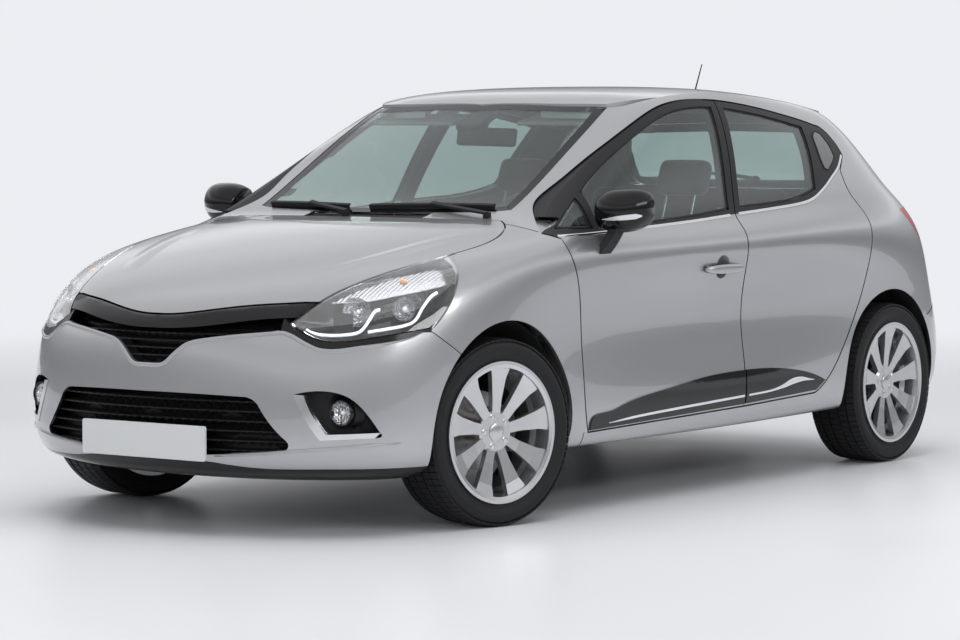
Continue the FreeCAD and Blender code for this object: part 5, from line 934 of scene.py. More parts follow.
# %% Bumper lips
NOTCH_LINE = [(0.0, 0.5395), (0.052, 0.5405), (0.078, 0.553), (0.098, 0.572), (0.130, 0.598), (0.156, 0.612),
              (0.200, 0.622), (0.311, 0.637), (0.400, 0.646), (0.452, 0.651)]
half_lip = NOTCH_LINE + BAND_LINE[1:]
bumper_probe = from_front(skin_tree("front_bumper"))
laid_strip("bumper_lip", bumper_probe, [(-x, z) for x, z in reversed(half_lip[1:])] + half_lip, 220,
           [(-0.0075, -0.004), (-0.0070, 0.0010), (-0.0035, 0.0042), (0.0015, 0.0048), (0.0060, 0.0020),
            (0.0075, -0.004)], body_paint, "body", taper=thin_ends(0.3, 14))
chin = laid(bumper_probe, rounded_line([(0.262, 0.2575), (0.340, 0.264), (0.442, 0.2725), (0.513, 0.280),
                                        (0.623, 0.290), (0.771, 0.304)], 60))
for side_name, side in sides.items():
    places, normals = [[v * Vector((side, 1, 1)) for v in row] for row in chin]
    drawn_strip("chin_lip_" + side_name, places, normals,
                [(-0.0070, -0.003), (-0.0060, 0.0030), (-0.0010, 0.0050), (0.0050, 0.0030), (0.0070, -0.003)],
                body_paint, "body", taper=thin_ends(0.25, 8))
print("lip points", len(places))

# %% [markdown]
# Each lamp has two chrome bowls, a black bezel, a chrome chamber for the
# indicator and two milky guides that follow the lens. The guides carry a faint
# painted glow, since nothing else in the lamp emits light. The bowls are part of
# the lamp's solid, so a copy of it takes several finishes, face by face.

# %% Headlamp insides
HALF_WIDTH, HALF_LENGTH, HEIGHT = 0.866, 2.010, 1.448
BOWLS = [((0.7000 * HALF_WIDTH, -0.8313 * HALF_LENGTH, 0.4930 * HEIGHT), 0.0550 * HALF_WIDTH, (0.30, -0.954)),
         ((0.8256 * HALF_WIDTH, -0.7786 * HALF_LENGTH, 0.4986 * HEIGHT), 0.0440 * HALF_WIDTH, (0.45, -0.893))]
BEZEL, BOWL, BULB = range(3)
BOWL_DEPTH, BULB_DEPTH, BULB_RADIUS = 0.0430, 0.032, 0.0095
CELL = 0.005
CHAMBER_WALL = 0.002


def retouched(name, source, pick, materials, body, each_corner=False):
    """A copy of a node whose faces take one of several finishes, chosen by pick(place)."""
    mesh = nodes[source].data.copy()
    mesh.materials.clear()
    for material in materials:
        mesh.materials.append(material)
    for face in mesh.polygons:
        spots = [mesh.vertices[v].co for v in face.vertices] if each_corner else [face.center]
        face.material_index = min(pick(spot) for spot in spots)
    stand_in(name, source, mesh, body)


def lamp_part(spot):
    place = Vector((abs(spot.x), spot.y, spot.z))
    for centre, radius, aim in BOWLS:
        way = Vector((*aim, 0)).normalized()
        arm = place - Vector(centre)
        along = arm.dot(way)
        off = (arm - way * along).length
        if -BOWL_DEPTH < along < 0.002 and off < radius + 0.0006:
            return BULB if off < BULB_RADIUS and along > -BULB_DEPTH else BOWL
    return BEZEL


def both_sides(piece, name, body):
    """The same piece on the other side of the car."""
    mesh = placed(piece.data, Matrix.Scale(-1, 4, Vector((1, 0, 0))))
    mesh.name = name
    mesh.flip_normals()
    other = linked(name, mesh)
    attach(other, body)
    return other


def walled(piece):
    step = piece.modifiers.new("thickness", "SOLIDIFY")
    step.thickness, step.offset = CHAMBER_WALL, -1


retouched("headlamp_insides", "headlamp_units", lamp_part, [gloss_black, lamp_chrome, bulb_glass], "body", True)
lens_tree = skin_tree("headlamp_lenses")
guides = [[(0.521, 0.666), (0.540, 0.657), (0.571, 0.650), (0.620, 0.649), (0.657, 0.655), (0.669, 0.668),
           (0.674, 0.695), (0.675, 0.722), (0.684, 0.729)],
          [(0.684, 0.658), (0.726, 0.667), (0.761, 0.677), (0.774, 0.693), (0.775, 0.728), (0.776, 0.763),
           (0.781, 0.778)]]
for index, line in enumerate(guides):
    guide = laid_strip("light_guide_%d_left" % index, from_front(lens_tree, -0.010), line, 60,
                       mound((0.0045, -0.004), (0.0045, 0.002), (0.002, 0.004)), painted_glow_guide, "body")
    both_sides(guide, "light_guide_%d_right" % index, "body")

chamber_low = [(0.540, 0.752), (0.640, 0.758), (0.742, 0.787), (0.786, 0.804)]
chamber_high = [(0.540, 0.756), (0.577, 0.793), (0.635, 0.833), (0.700, 0.858), (0.745, 0.842), (0.786, 0.808)]
lens_probe = from_front(lens_tree, -0.016)
index, points = {}, []
for i, x in enumerate(np.arange(0.540, 0.786, CELL)):
    low = np.interp(x, *zip(*chamber_low))
    high = max(np.interp(x, *zip(*chamber_high)), low + 0.001)
    for j, z in enumerate(np.arange(0.750, 0.860 + CELL, CELL)):
        spot = lens_probe(x, min(max(z, low), high)) if low - CELL <= z <= high + CELL else None
        if spot:
            index[i, j] = len(points)
            points.append(spot[0])
corners = [[(i, j), (i + 1, j), (i + 1, j + 1), (i, j + 1)] for i, j in index]
faces = [[index[c] for c in four] for four in corners if all(c in index for c in four)]
chamber = make_piece("indicator_chamber_left", points, faces, chamber_chrome, "body")
walled(chamber)
walled(both_sides(chamber, "indicator_chamber_right", "body"))
for side_name, side in sides.items():
    bulb = turned_mesh("bulb", [(-0.014, TIP), (-0.012, 0.006), (-0.006, 0.0088), (0.002, 0.0095), (0.009, 0.0070),
                                (0.0125, 0.003), (0.0135, TIP)], 24)
    bulb.transform(Matrix.Translation((side * 0.668, -1.505, 0.8060)))
    dress("indicator_bulb_" + side_name, bulb, amber, "body")
print("light guides", len(guides) * 2, "chamber faces", len(faces))

# %% [markdown]
# The grille bar is gloss black and the slats behind it are matt, so the copy of
# the grilles splits its faces by height. The mirrors are gloss above and matt
# below. Rays from behind find the case's outline, and the glass fills it.

# %% Grilles and mirrors
MIRROR_RIM = 64
CASE_SAMPLES = 120
CASE_EDGE = 0.016   # from the case's outer end to the rim of the glass
CASE_WIDTH = 0.205
GLASS_RINGS = ((0.0055, -0.0005), (0.0065, 0.0012), (0.0120, 0.0014), (1.0, 0.0014))  # inset and lift of each
retouched("grille_faces", "front_grilles", lambda spot: int(spot.z > 0.656 and spot.y < -1.80),
          [grille_black, gloss_black], "body")


def mirror_face(name, tree, side, low, high, body):
    """The mirror's glass, and the height and width of its case."""
    def behind(x, z):
        return tree.ray_cast(Vector((x, high.y + 0.2, z)), Vector((0, -1, 0)))[0]

    reach = max(abs(low.x), abs(high.x))
    outer, inner = side * (reach - CASE_EDGE), side * (reach - CASE_WIDTH)
    heights = [z for z in np.linspace(low.z, high.z, CASE_SAMPLES) if behind(outer - side * 0.035, z)]
    case_low, case_high = min(heights), max(heights)
    middle_z = (case_low + case_high) / 2
    widths = [abs(x) for x in np.linspace(inner, side * reach, CASE_SAMPLES) if behind(x, middle_z)]
    middle_x = side * (min(widths) + max(widths)) / 2
    turns = [2 * math.pi * k / MIRROR_RIM for k in range(MIRROR_RIM)]

    def spot(turn, r):
        return middle_x + side * math.cos(turn) * r, middle_z + math.sin(turn) * r

    reaches = []
    for turn in turns:
        reaches.append(0.0)
        for r in np.arange(0.004, 0.150, 0.0015):
            x, z = spot(turn, r)
            if behind(x, z) is None or z < case_low + 0.002:
                break
            reaches[-1] = r
    points = []
    for inset, lift in GLASS_RINGS:
        for turn, r in zip(turns, reaches):
            x, z = spot(turn, max(r - inset, 0.0))
            hit = behind(x, z)
            points.append((x, (hit.y if hit else high.y) + lift, z))
    points = points[:3 * MIRROR_RIM + 1]
    faces = grid_faces(3, MIRROR_RIM, False, True) + fan_faces(2 * MIRROR_RIM, MIRROR_RIM, 3 * MIRROR_RIM)
    make_piece(name, points, faces, mirror_glass, body)
    return case_low, case_high, abs(inner), abs(outer)


for side_name, side in sides.items():
    name, body = "mirror_" + side_name, "door_front_" + side_name
    low, high = [Vector(corner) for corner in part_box(name)]
    split_height = low.z + (high.z - low.z) * 0.36
    retouched("mirror_case_" + side_name, name, lambda spot: int(spot.z >= split_height),
              [matt_black, gloss_black], body)
    tree = skin_tree(name)
    case_low, case_high, inner, outer = mirror_face("mirror_glass_" + side_name, tree, side, low, high, body)
    slit = [(side * x, case_low + (case_high - case_low) * 0.24 + 0.014 * ((x - inner) / (outer - inner)) ** 2)
            for x in np.linspace(inner + 0.070, outer + 0.006, 30)]
    drawn_strip("mirror_indicator_" + side_name, *laid(from_front(tree), slit),
                mound((0.0095, -0.001), (0.0088, 0.0014), (0, 0.0026)), indicator_clear, body,
                taper=lambda t: 0.12 + 0.88 * math.sin(math.pi / 2 * min(1, t * 1.25)) * min(1, (1.02 - t) * 9))

# %% [markdown]
# The seats are padded cloth over foam. Each pad starts a little smaller than
# its solid, as a core with raised bolsters, remeshed into one closed form.
# Cloth with inner pressure then swells it, with the movement capped, so the
# cover is crowned between its seams.

# %% Helpers for padded pieces
DOWN, AHEAD = (0, 0, -1), (0, 1, 0)
CLOTH_FRAMES = 20
CLOTH_SETTINGS = {"quality": 4, "mass": 0.25, "tension_stiffness": 12, "compression_stiffness": 12,
                  "shear_stiffness": 6, "bending_stiffness": 1.2, "use_pressure": True,
                  "uniform_pressure_force": 4.0}


def soft_mesh(name, *blocks):
    """Blocks with round edges, each a size, a middle and an edge radius, in one mesh."""
    work = bmesh.new()
    for size, middle, edge in blocks:
        verts = bmesh.ops.create_cube(work, size=1.0)["verts"]
        for v in verts:
            v.co = v.co * Vector(size) + Vector(middle)
        edges = list({e for v in verts for e in v.link_edges})
        bmesh.ops.bevel(work, geom=edges, offset=edge, segments=4, profile=0.5, affect="EDGES")
    return mesh_of(work, name)


def pad_mesh(name, blocks, voxel):
    """Merges blocks into one closed mesh with soft edges."""
    holder = linked("pad_holder", soft_mesh(name, *blocks))
    remesh = holder.modifiers.new("remesh", "REMESH")
    remesh.mode, remesh.voxel_size = "VOXEL", voxel
    smooth = holder.modifiers.new("smooth", "SMOOTH")
    smooth.iterations, smooth.factor = 6, 0.5
    return made_by(holder, name)


def swollen(mesh, cap):
    """Runs cloth with inner pressure on a closed mesh and caps how far a point moves."""
    rest = np.array([v.co[:] for v in mesh.vertices])
    holder = linked("cloth_holder", mesh)
    step = holder.modifiers.new("cloth", "CLOTH")
    for key, value in CLOTH_SETTINGS.items():
        setattr(step.settings, key, value)
    step.settings.effector_weights.gravity = 0
    step.collision_settings.use_collision = False
    for moment in range(1, CLOTH_FRAMES + 1):
        bpy.context.scene.frame_set(moment)
    shown = bpy.context.evaluated_depsgraph_get()
    change = np.array([v.co[:] for v in holder.evaluated_get(shown).data.vertices]) - rest
    bpy.context.scene.frame_set(1)
    bpy.data.objects.remove(holder)
    change *= np.minimum(1.0, cap / np.maximum(np.linalg.norm(change, axis=1), 1e-9))[:, None]
    for vertex, place in zip(mesh.vertices, rest + change):
        vertex.co = place
    return mesh


def pad(name, blocks, voxel, cap):
    holder = linked("fine_holder", swollen(pad_mesh(name, blocks, voxel), cap))
    step = holder.modifiers.new("fine", "SUBSURF")
    step.levels = step.render_levels = 1
    return made_by(holder, name)


def seat_piece(name, mesh, move, material=seat_cloth):
    shape = placed(mesh, move)
    piece = linked(name, shape)
    shape.materials.clear()
    shape.materials.append(material)
    shape.shade_smooth()
    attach(piece, "body")
    return piece


def seam(name, tree, move, way, start, end, count):
    """A sewn channel: a thin piped line, dropped on a pad between two places."""
    places, normals = laid(lambda *place: on_tree(tree, place, way), np.linspace(start, end, count))
    strip = drawn_strip(name, places, normals, mound((0.0030, -0.002), (0.0022, 0.0012), (0, 0.0020)), seam_thread,
                        "body")
    strip.data.transform(move)


print("pads swell over", CLOTH_FRAMES, "frames")

# %% [markdown]
# A front seat is a cushion, a back and a head restraint on two posts. The
# cushion and back have a pad in the middle and a bolster on each side.

# %% Front seats
SEAT_X, SEAT_FRONT, SEAT_LOW = 0.370, -0.140, 0.320
BACK_PLACE = Matrix.Translation((0, SEAT_FRONT + 0.480, SEAT_LOW + 0.110)) @ Matrix.Rotation(-math.radians(20), 4, "X")
CUSHION_PLACE = Matrix.Translation((0, SEAT_FRONT, SEAT_LOW))
cushion = pad("seat_cushion", [((0.300, 0.480, 0.100), (0, 0.250, 0.066), 0.030)]
              + [((0.085, 0.440, 0.124), (x, 0.255, 0.078), 0.036) for x in (0.186, -0.186)]
              + [((0.300, 0.090, 0.110), (0, 0.060, 0.074), 0.040)], 0.010, 0.014)
back = pad("seat_back", [((0.290, 0.075, 0.540), (0, 0.066, 0.300), 0.028)]
           + [((0.080, 0.096, 0.430), (x, 0.056, 0.270), 0.036) for x in (0.178, -0.178)]
           + [((0.330, 0.070, 0.130), (0, 0.062, 0.510), 0.030)], 0.010, 0.012)
rest = pad("head_rest", [((0.220, 0.068, 0.140), (0, 0.055, 0.740), 0.030)], 0.009, 0.008)
post = turned_mesh("post", [(0.570, TIP), (0.570, 0.0055), (0.690, 0.0055), (0.690, TIP)], 16)
base = soft_mesh("seat_base", ((0.400, 0.390, 0.078), (0, 0.255, -0.042), 0.012))
cushion_tree, back_tree = tree_of(cushion), tree_of(back)
for side_name, side in sides.items():
    cushion_move = Matrix.Translation((side * SEAT_X, 0, 0)) @ CUSHION_PLACE
    back_move = Matrix.Translation((side * SEAT_X, 0, 0)) @ BACK_PLACE
    cushion_piece = seat_piece("seat_cushion_" + side_name, cushion, cushion_move)
    if side_name == "left":
        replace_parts(cushion_piece, "front_seats")
    seat_piece("seat_back_" + side_name, back, back_move)
    seat_piece("head_rest_" + side_name, rest, back_move, seat_side_cloth)
    for index, x in enumerate((-0.150, 0.150)):
        seam("cushion_seam_%s_%d" % (side_name, index), cushion_tree, cushion_move, DOWN,
             (x, 0.04, 0.5), (x, 0.45, 0.5), 60)
        seam("back_seam_%s_%d" % (side_name, index), back_tree, back_move, AHEAD,
             (x, -0.4, 0.08), (x, -0.4, 0.50), 60)
    for index, y in enumerate((0.150, 0.300)):
        seam("cushion_channel_%s_%d" % (side_name, index), cushion_tree, cushion_move, DOWN,
             (-0.145, y, 0.5), (0.145, y, 0.5), 40)
    for index, z in enumerate((0.200, 0.350)):
        seam("back_channel_%s_%d" % (side_name, index), back_tree, back_move, AHEAD,
             (-0.145, -0.4, z), (0.145, -0.4, z), 40)
    posts = [placed(post, back_move @ Matrix(((0, 1, 0, x), (0, 0, 1, 0.055), (1, 0, 0, 0), (0, 0, 0, 1))))
             for x in (0.062, -0.062)]
    dress("head_rest_posts_" + side_name, one_mesh("posts", posts), satin_chrome, "body")
    dress("seat_base_" + side_name, placed(base, cushion_move), dash_plastic, "body")
print("front seat faces", len(cushion.polygons), len(back.polygons), len(rest.polygons))

# %% [markdown]
# The rear bench is one long cushion and one back, divided by seams where the
# back folds, with two head restraints.

# %% Rear bench
BENCH_HALF = 0.74 * HALF_WIDTH
BENCH_PLACE = Matrix.Translation((0, 0.560, 0.340))
BENCH_BACK_PLACE = Matrix.Translation((0, 0.960, 0.450)) @ Matrix.Rotation(-math.radians(24), 4, "X")
bench = pad("bench_cushion", [((BENCH_HALF * 2 - 0.030, 0.420, 0.108), (0, 0.225, 0.070), 0.034),
                              ((BENCH_HALF * 1.9, 0.100, 0.124), (0, 0.066, 0.078), 0.044)], 0.014, 0.013)
bench_back = pad("bench_back", [((BENCH_HALF * 1.84 - 0.030, 0.080, 0.530), (0, 0.055, 0.280), 0.030)], 0.014, 0.012)
bench_rest = pad("bench_rest", [((0.190, 0.055, 0.096), (0, 0.048, 0.632), 0.024)], 0.010, 0.008)
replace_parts(seat_piece("bench_cushion", bench, BENCH_PLACE), "rear_bench")
seat_piece("bench_back", bench_back, BENCH_BACK_PLACE)
bench_tree, bench_back_tree = tree_of(bench), tree_of(bench_back)
for side_name, side in sides.items():
    seat_piece("bench_rest_" + side_name, bench_rest,
               BENCH_BACK_PLACE @ Matrix.Translation((side * BENCH_HALF * 0.55, 0, 0)), seat_side_cloth)
for index, x in enumerate((-0.21, 0.21)):
    seam("bench_seam_%d" % index, bench_tree, BENCH_PLACE, DOWN, (x, 0.03, 0.5), (x, 0.42, 0.5), 50)
    seam("bench_back_seam_%d" % index, bench_back_tree, BENCH_BACK_PLACE, AHEAD, (x, -0.4, 0.04), (x, -0.4, 0.53), 50)
for index, side in enumerate((-1, 1)):
    seam("bench_channel_%d" % index, bench_back_tree, BENCH_BACK_PLACE, AHEAD,
         (side * 0.23, -0.4, 0.36), (side * 0.56, -0.4, 0.36), 50)
print("bench faces", len(bench.polygons), len(bench_back.polygons))

# %% [markdown]
# Fixed glass is glued in, and a black printed border hides the glue. It is the
# same kind of band as a seal, only wider and flat on the pane.

# %% Black borders of the glued glass
for name, probe, axes, width, body in (("windscreen", from_above, (0, 1), 0.036, "body"),
                                       ("tailgate_glass", from_back, (0, 2), 0.034, "tailgate")):
    tree, low, high = loose_parts(nodes[name].data)[0]
    edge_band(name + "_border", probe(tree, BAND_LIFT), axes, low, high, width, gloss_black, body, 260)
print("glass borders done")

# %% [markdown]
# Inside, a mirror hangs from a black sensor cover behind the screen, sun visors
# lie under the roof's front edge, and the dashboard has its vents and display.


# %% Cabin details
def soft_block(name, size, middle, edge, material, tilt=0.0, turn=0.0):
    mesh = soft_mesh(name, (size, (0, 0, 0), edge))
    mesh.transform(Matrix.Translation(middle) @ Matrix.Rotation(tilt, 4, "X") @ Matrix.Rotation(turn, 4, "Z"))
    dress(name, mesh, material, "body", 40)


screen_low, screen_high = [Vector(corner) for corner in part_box("windscreen")]
screen_probe = from_above(skin_tree("windscreen"))
mount = screen_probe(0.0, screen_high.y - 0.115)[0]
slope = math.atan2(screen_high.z - screen_low.z, screen_high.y - screen_low.y)
mirror_turn = (math.radians(-12), math.radians(6))
for name, size, offset, edge, material, turn in (
        ("sensor_cover", (0.110, 0.150, 0.030), (0, 0.030, -0.030), 0.012, matt_black, (slope * 0.9, 0)),
        ("cabin_mirror_case", (0.245, 0.028, 0.068), (0, 0.085, -0.092), 0.012, matt_black, mirror_turn),
        ("cabin_mirror_glass", (0.228, 0.004, 0.054), (-0.0014, 0.0998, -0.0955), 0.0018, mirror_glass, mirror_turn),
        ("cabin_mirror_stem", (0.022, 0.060, 0.022), (0, 0.060, -0.062), 0.008, matt_black, (math.radians(40), 0))):
    soft_block(name, size, mount + Vector(offset), edge, material, *turn)
for side_name, side in sides.items():
    place = screen_probe(side * 0.34, screen_high.y - 0.070)[0]
    soft_block("sun_visor_" + side_name, (0.400, 0.150, 0.016), place + Vector((0, 0.100, -0.040)), 0.007, roof_cloth,
               slope * 0.42)
dash_tree = skin_tree("dashboard")


def on_dash(x, z):
    return on_tree(dash_tree, (x, 1.0, z), (0, -1, 0))[0]


ring = turned_mesh("vent_ring", [(0.000, 0.046), (0.008, 0.044), (0.009, 0.038), (0.000, 0.036)], 40, closed=True)
slat = block_mesh("slat", (0.004, 0.068, 0.0022))
slats = [placed(slat, Matrix.Translation((0.003, 0, number * 0.012))) for number in range(-2, 3)]
vent = one_mesh("vent", [ring] + slats)
for index, (x, material) in enumerate(((-0.560, matt_black), (-0.085, satin_chrome), (0.085, satin_chrome),
                                       (0.600, matt_black))):
    move = Matrix.Translation(on_dash(x, 0.840)) @ Matrix.Rotation(math.radians(90), 4, "Z")
    dress("air_vent_%d" % index, placed(vent, move), material, "body")
soft_block("dash_display", (0.190, 0.012, 0.110), on_dash(0.0, 0.760) + Vector((0, 0.002, 0)), 0.004, gloss_black)
print("cabin mirror at", [round(v, 3) for v in mount])

# %% [markdown]
# At the rear, the bumper has a black edge and a reflector on each side, and the
# tailgate carries a wiper, a stop lamp and a grip over the blank plate recess.

# %% Rear details
GRIP_HEIGHT = 0.905
bumper_back = from_back(skin_tree("rear_bumper"))
gate_back = from_back(skin_tree("tailgate"))
glass_tree = skin_tree("tailgate_glass")
glass_low, glass_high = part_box("tailgate_glass")
stop_height = (glass_high[2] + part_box("tailgate")[1][2]) / 2 + 0.002
pivot = glass_low[2] + 0.030
laid_strip("diffuser_edge", bumper_back, [(-0.60, 0.376), (-0.30, 0.388), (0.0, 0.390), (0.30, 0.388), (0.60, 0.376)],
           80, mound((0.006, -0.003), (0.005, 0.003), (0, 0.005)), matt_black, "body", taper=thin_ends(0.3, 8))
for side_name, side in sides.items():
    laid_strip("reflector_" + side_name, bumper_back,
               [(side * 0.44, 0.425), (side * 0.52, 0.427), (side * 0.60, 0.432)], 24,
               mound((0.011, -0.002), (0.010, 0.003), (0, 0.0042)), red_lens, "body")
laid_strip("high_stop_lamp", gate_back, [(-0.165, stop_height), (0.0, stop_height + 0.002), (0.165, stop_height)], 40,
           mound((0.008, -0.002), (0.007, 0.002)), red_lens, "tailgate")
laid_strip("tailgate_grip", gate_back, [(-0.21, GRIP_HEIGHT), (0.0, GRIP_HEIGHT + 0.004), (0.21, GRIP_HEIGHT)], 60,
           [(-0.012, -0.003), (-0.010, 0.008), (-0.002, 0.012), (0.008, 0.009), (0.012, -0.003)], gloss_black,
           "tailgate", taper=thin_ends(0.45, 9))
laid_strip("rear_wiper_arm", from_back(glass_tree, 0.010),
           [(0.0, pivot), (-0.10, pivot + 0.015), (-0.24, pivot + 0.026)], 40,
           mound((0.008, -0.002), (0.006, 0.006)), matt_black, "tailgate", taper=lambda t: 1.3 - 0.7 * t)
laid_strip("rear_wiper_blade", from_back(glass_tree, 0.001),
           [(-0.05, pivot + 0.012), (-0.20, pivot + 0.023), (-0.335, pivot + 0.030)], 50,
           mound((0.0015, -0.001), (0.004, 0.008)), seal_rubber, "tailgate")
boss_place, boss_way = from_back(glass_tree)(0.0, pivot)
boss = turned_mesh("boss", [(-0.004, TIP), (-0.004, 0.020), (0.012, 0.018), (0.018, 0.012), (0.019, TIP)], 32)
turn = Vector((1, 0, 0)).rotation_difference(boss_way).to_matrix().to_4x4()
boss.transform(Matrix.Translation(boss_place) @ turn)
dress("rear_wiper_boss", boss, matt_black, "tailgate")
print("grip", GRIP_HEIGHT, "stop lamp", round(stop_height, 3))

# %% [markdown]
# The bonnet has a crease along each side that runs from the screen's foot to
# the grille's corner. It is a very low ridge in the same paint, which sinks
# into the panel at both edges and both ends.

# %% Bonnet creases
CREASE = [(0.590, -0.960), (0.560, -1.150), (0.500, -1.380), (0.415, -1.580), (0.330, -1.720)]
CREASE_HALF, CREASE_HEIGHT, CREASE_SINK, CREASE_ACROSS = 0.060, 0.0042, 0.0004, 17
bonnet_probe = from_above(skin_tree("bonnet"))
for side_name, side in sides.items():
    places, normals = laid(bonnet_probe, rounded_line([(side * x, y) for x, y in CREASE], 110))
    count = len(places)
    points = []
    for k, (place, normal) in enumerate(zip(places, normals)):
        t = k / (count - 1.0)
        fade = math.sin(math.pi * min(1, t * 2.2, (1 - t) * 2.2) / 2) ** 2
        along = (places[min(k + 1, count - 1)] - places[max(k - 1, 0)]).normalized()
        across = along.cross(normal).normalized()
        for share in np.linspace(-1, 1, CREASE_ACROSS):
            here = place + across * (CREASE_HALF * share)
            foot, way = bonnet_probe(here.x, here.y) or (here, normal)
            points.append(foot + way * (CREASE_HEIGHT * fade * math.cos(math.pi / 2 * share) ** 2 - CREASE_SINK))
    make_piece("bonnet_crease_" + side_name, points, grid_faces(count, CREASE_ACROSS), body_paint, "bonnet", 80)
print("crease places", count)

# %% [markdown]
# The fog lamps stand in black pockets. The lamp's tube is turned to face
# ahead and pushed back a little inside its pocket, and a dark ring, a faceted
# reflector, a bulb and a clear dome finish it, each turned about its axis.

# %% Fog lamps
FOG_MIDDLE = Vector((0.636, -1.800, 0.401))
FOG_TURN = math.radians(16.7)
FOG_BACK = 0.028
FOG_RADIUS, FOG_DEPTH = 0.0436, 0.060

fog_mesh = nodes["fog_lamps"].data.copy()
way = Vector((math.sin(FOG_TURN), math.cos(FOG_TURN), 0))
for v in fog_mesh.vertices:
    side = 1 if v.co.x > 0 else -1
    arm = Vector((abs(v.co.x), v.co.y, v.co.z)) - FOG_MIDDLE
    along = arm.dot(way)
    if (arm - way * along).length < FOG_RADIUS and -0.002 < along < FOG_DEPTH:
        turned = Matrix.Rotation(FOG_TURN, 4, "Z") @ arm + FOG_MIDDLE
        v.co = Vector((side * turned.x, turned.y + FOG_BACK, turned.z))
fog_mesh.materials.clear()
fog_mesh.materials.append(matt_black)
stand_in("fog_pockets", "fog_lamps", fog_mesh, "body")
fog_parts = (
    ("fog_ring", gloss_black, [(-0.012, 0.0446), (0.008, 0.0446), (0.0110, 0.0434), (0.0116, 0.0418),
                               (0.0104, 0.0402), (0.004, 0.0394), (-0.002, 0.0390)]),
    ("fog_reflector", lamp_chrome, [(0.0045, 0.0392), (-0.001, 0.0375), (-0.006, 0.030), (-0.0085, 0.020),
                                    (-0.0095, 0.010), (-0.0096, 0.0002)]),
    ("fog_bulb", bulb_glass, [(-0.0094, 0.0070), (-0.004, 0.0072), (-0.001, 0.0060), (0.0008, 0.0035),
                              (0.0012, 0.0002)]),
    ("fog_lens", clear_lens, [(0.0040, 0.0388), (0.0070, 0.0384), (0.0105, 0.0320), (0.0132, 0.0210),
                              (0.0145, 0.0100), (0.0149, 0.0002), (0.0125, 0.0002), (0.0121, 0.0100),
                              (0.0108, 0.0205), (0.0082, 0.0310), (0.0052, 0.0370)]))
for side_name, side in sides.items():
    move = Matrix.Translation((side * FOG_MIDDLE.x, FOG_MIDDLE.y + FOG_BACK - 0.013, FOG_MIDDLE.z))
    for name, material, section in fog_parts:
        mesh = turned_mesh(name, section, 56)
        mesh.transform(move @ Matrix.Rotation(-math.pi / 2, 4, "Z"))
        dress(name + "_" + side_name, mesh, material, "body", 50)
print("fog lamps", len(fog_parts) * 2)

# %% [markdown]
# The handle of each front door is a rounded bar over a cup. The grip is drawn
# as rings along the bar: narrow at both feet, fuller and prouder in between.

# %% Door handles
HANDLE_X, HANDLE_Y, HANDLE_Z = 0.8428, 0.1427, 0.7935
HANDLE_HALF, HANDLE_RISE, HANDLE_TALL, HANDLE_THICK = 0.124, 0.034, 0.01512, 0.0088
RINGS, ROUND, SQUARENESS = 36, 20, 0.8
for side_name, side in sides.items():
    points = []
    for t in np.linspace(0, 1, RINGS):
        swell, foot = math.sin(math.pi * t), min(t, 1 - t)
        middle = HANDLE_X + HANDLE_RISE * min(0.86, 0.45 + 0.85 * max(swell, 0) ** 0.7)
        tall = HANDLE_TALL * (0.62 + 0.50 * max(swell, 0) ** 0.5) * min(1, 0.45 + 12 * foot)
        thick = HANDLE_THICK * min(1, 0.40 + 10 * foot)
        for k in range(ROUND):
            a, b = math.cos(2 * math.pi * k / ROUND), math.sin(2 * math.pi * k / ROUND)
            points.append((side * (middle + thick * math.copysign(abs(a) ** SQUARENESS, a)),
                           HANDLE_Y + HANDLE_HALF * (2 * t - 1),
                           HANDLE_Z + tall * math.copysign(abs(b) ** SQUARENESS, b)))
    faces = grid_faces(RINGS, ROUND, False, True)
    faces += [tuple(range(ROUND)), tuple(range((RINGS - 1) * ROUND, RINGS * ROUND))]
    make_piece("handle_grip_" + side_name, points, faces, body_paint, "door_front_" + side_name, 60)
print("handles", round(HANDLE_HALF * 2, 3), "m long")

# %% [markdown]
# Each rear door ends in a small fixed pane in its black corner. It is a patch
# on the door's own skin, drawn ring by ring towards its middle, with a rubber
# edge round it.

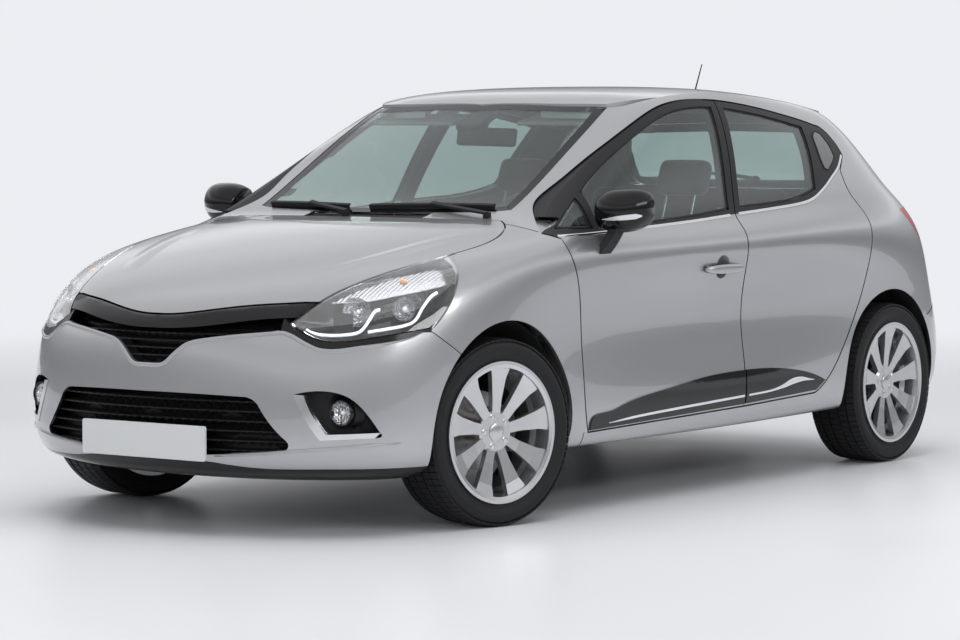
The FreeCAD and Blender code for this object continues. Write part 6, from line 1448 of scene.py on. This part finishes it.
# %% Quarter lights
QUARTER_LINE = [(1.120, 1.262), (1.165, 1.283), (1.205, 1.272), (1.226, 1.228), (1.222, 1.182), (1.180, 1.158),
                (1.125, 1.132), (1.100, 1.140), (1.098, 1.180)]
QUARTER_COUNT = 72
QUARTER_RINGS = (1.0, 0.85, 0.6, 0.3)


def closed_line(corners, count):
    """Evenly spaced places along a closed line with slightly rounded corners."""
    corners = [Vector(c) for c in corners]
    rounded = []
    for k, here in enumerate(corners):
        before, after = corners[k - 1], corners[(k + 1) % len(corners)]
        rounded += [here.lerp(before, 0.22), here.lerp(before, 0.06).lerp(after, 0.04), here.lerp(after, 0.22)]
    line = np.array([p[:] for p in rounded + rounded[:1]])
    steps = np.concatenate([[0], np.cumsum(np.linalg.norm(np.diff(line, axis=0), axis=1))])
    wanted = np.linspace(0, steps[-1], count, endpoint=False)
    return [Vector((np.interp(w, steps, line[:, 0]), np.interp(w, steps, line[:, 1]))) for w in wanted]


outline = closed_line(QUARTER_LINE, QUARTER_COUNT)
middle = sum(outline, Vector((0, 0))) / QUARTER_COUNT
for side_name, side in sides.items():
    door = "door_rear_" + side_name
    probe = from_side(skin_tree(door), side, 0.0007)
    rings = [laid(probe, [middle.lerp(place, reach) for place in outline]) for reach in QUARTER_RINGS]
    points = [p for places, _ in rings for p in places]
    points.append(sum(rings[-1][0], Vector()) / QUARTER_COUNT)
    faces = grid_faces(len(rings), QUARTER_COUNT, False, True)
    faces += fan_faces((len(rings) - 1) * QUARTER_COUNT, QUARTER_COUNT, len(points) - 1)
    make_piece("quarter_light_" + side_name, points, faces, quarter_glass, door)
    drawn_strip("quarter_seal_" + side_name, *rings[0], mound((0.0035, -0.0004), (0.0030, 0.0016), (0.0, 0.0024)),
                seal_rubber, door, closed=True)
print("quarter light places", len(points))

# %% [markdown]
# Behind each end of the grille a plain dark sheet stands in for the shade
# inside the nose: painted shade. Without it the floor would show through the nose.

# %% Dark sheets for the shade behind the grille
# Each sheet is painted shade: a dark plate placed where the nose holds only shade.
for side_name, side in sides.items():
    dark_sheet = block_mesh("air_baffle_" + side_name, (0.170, 0.003, 0.140), edge=0.0005)
    dark_sheet.transform(Matrix.Translation((side * 0.530, -1.700, 0.640)))
    dress("air_baffle_" + side_name, dark_sheet, liner_felt, "body")
print("shade sheets", len(sides))
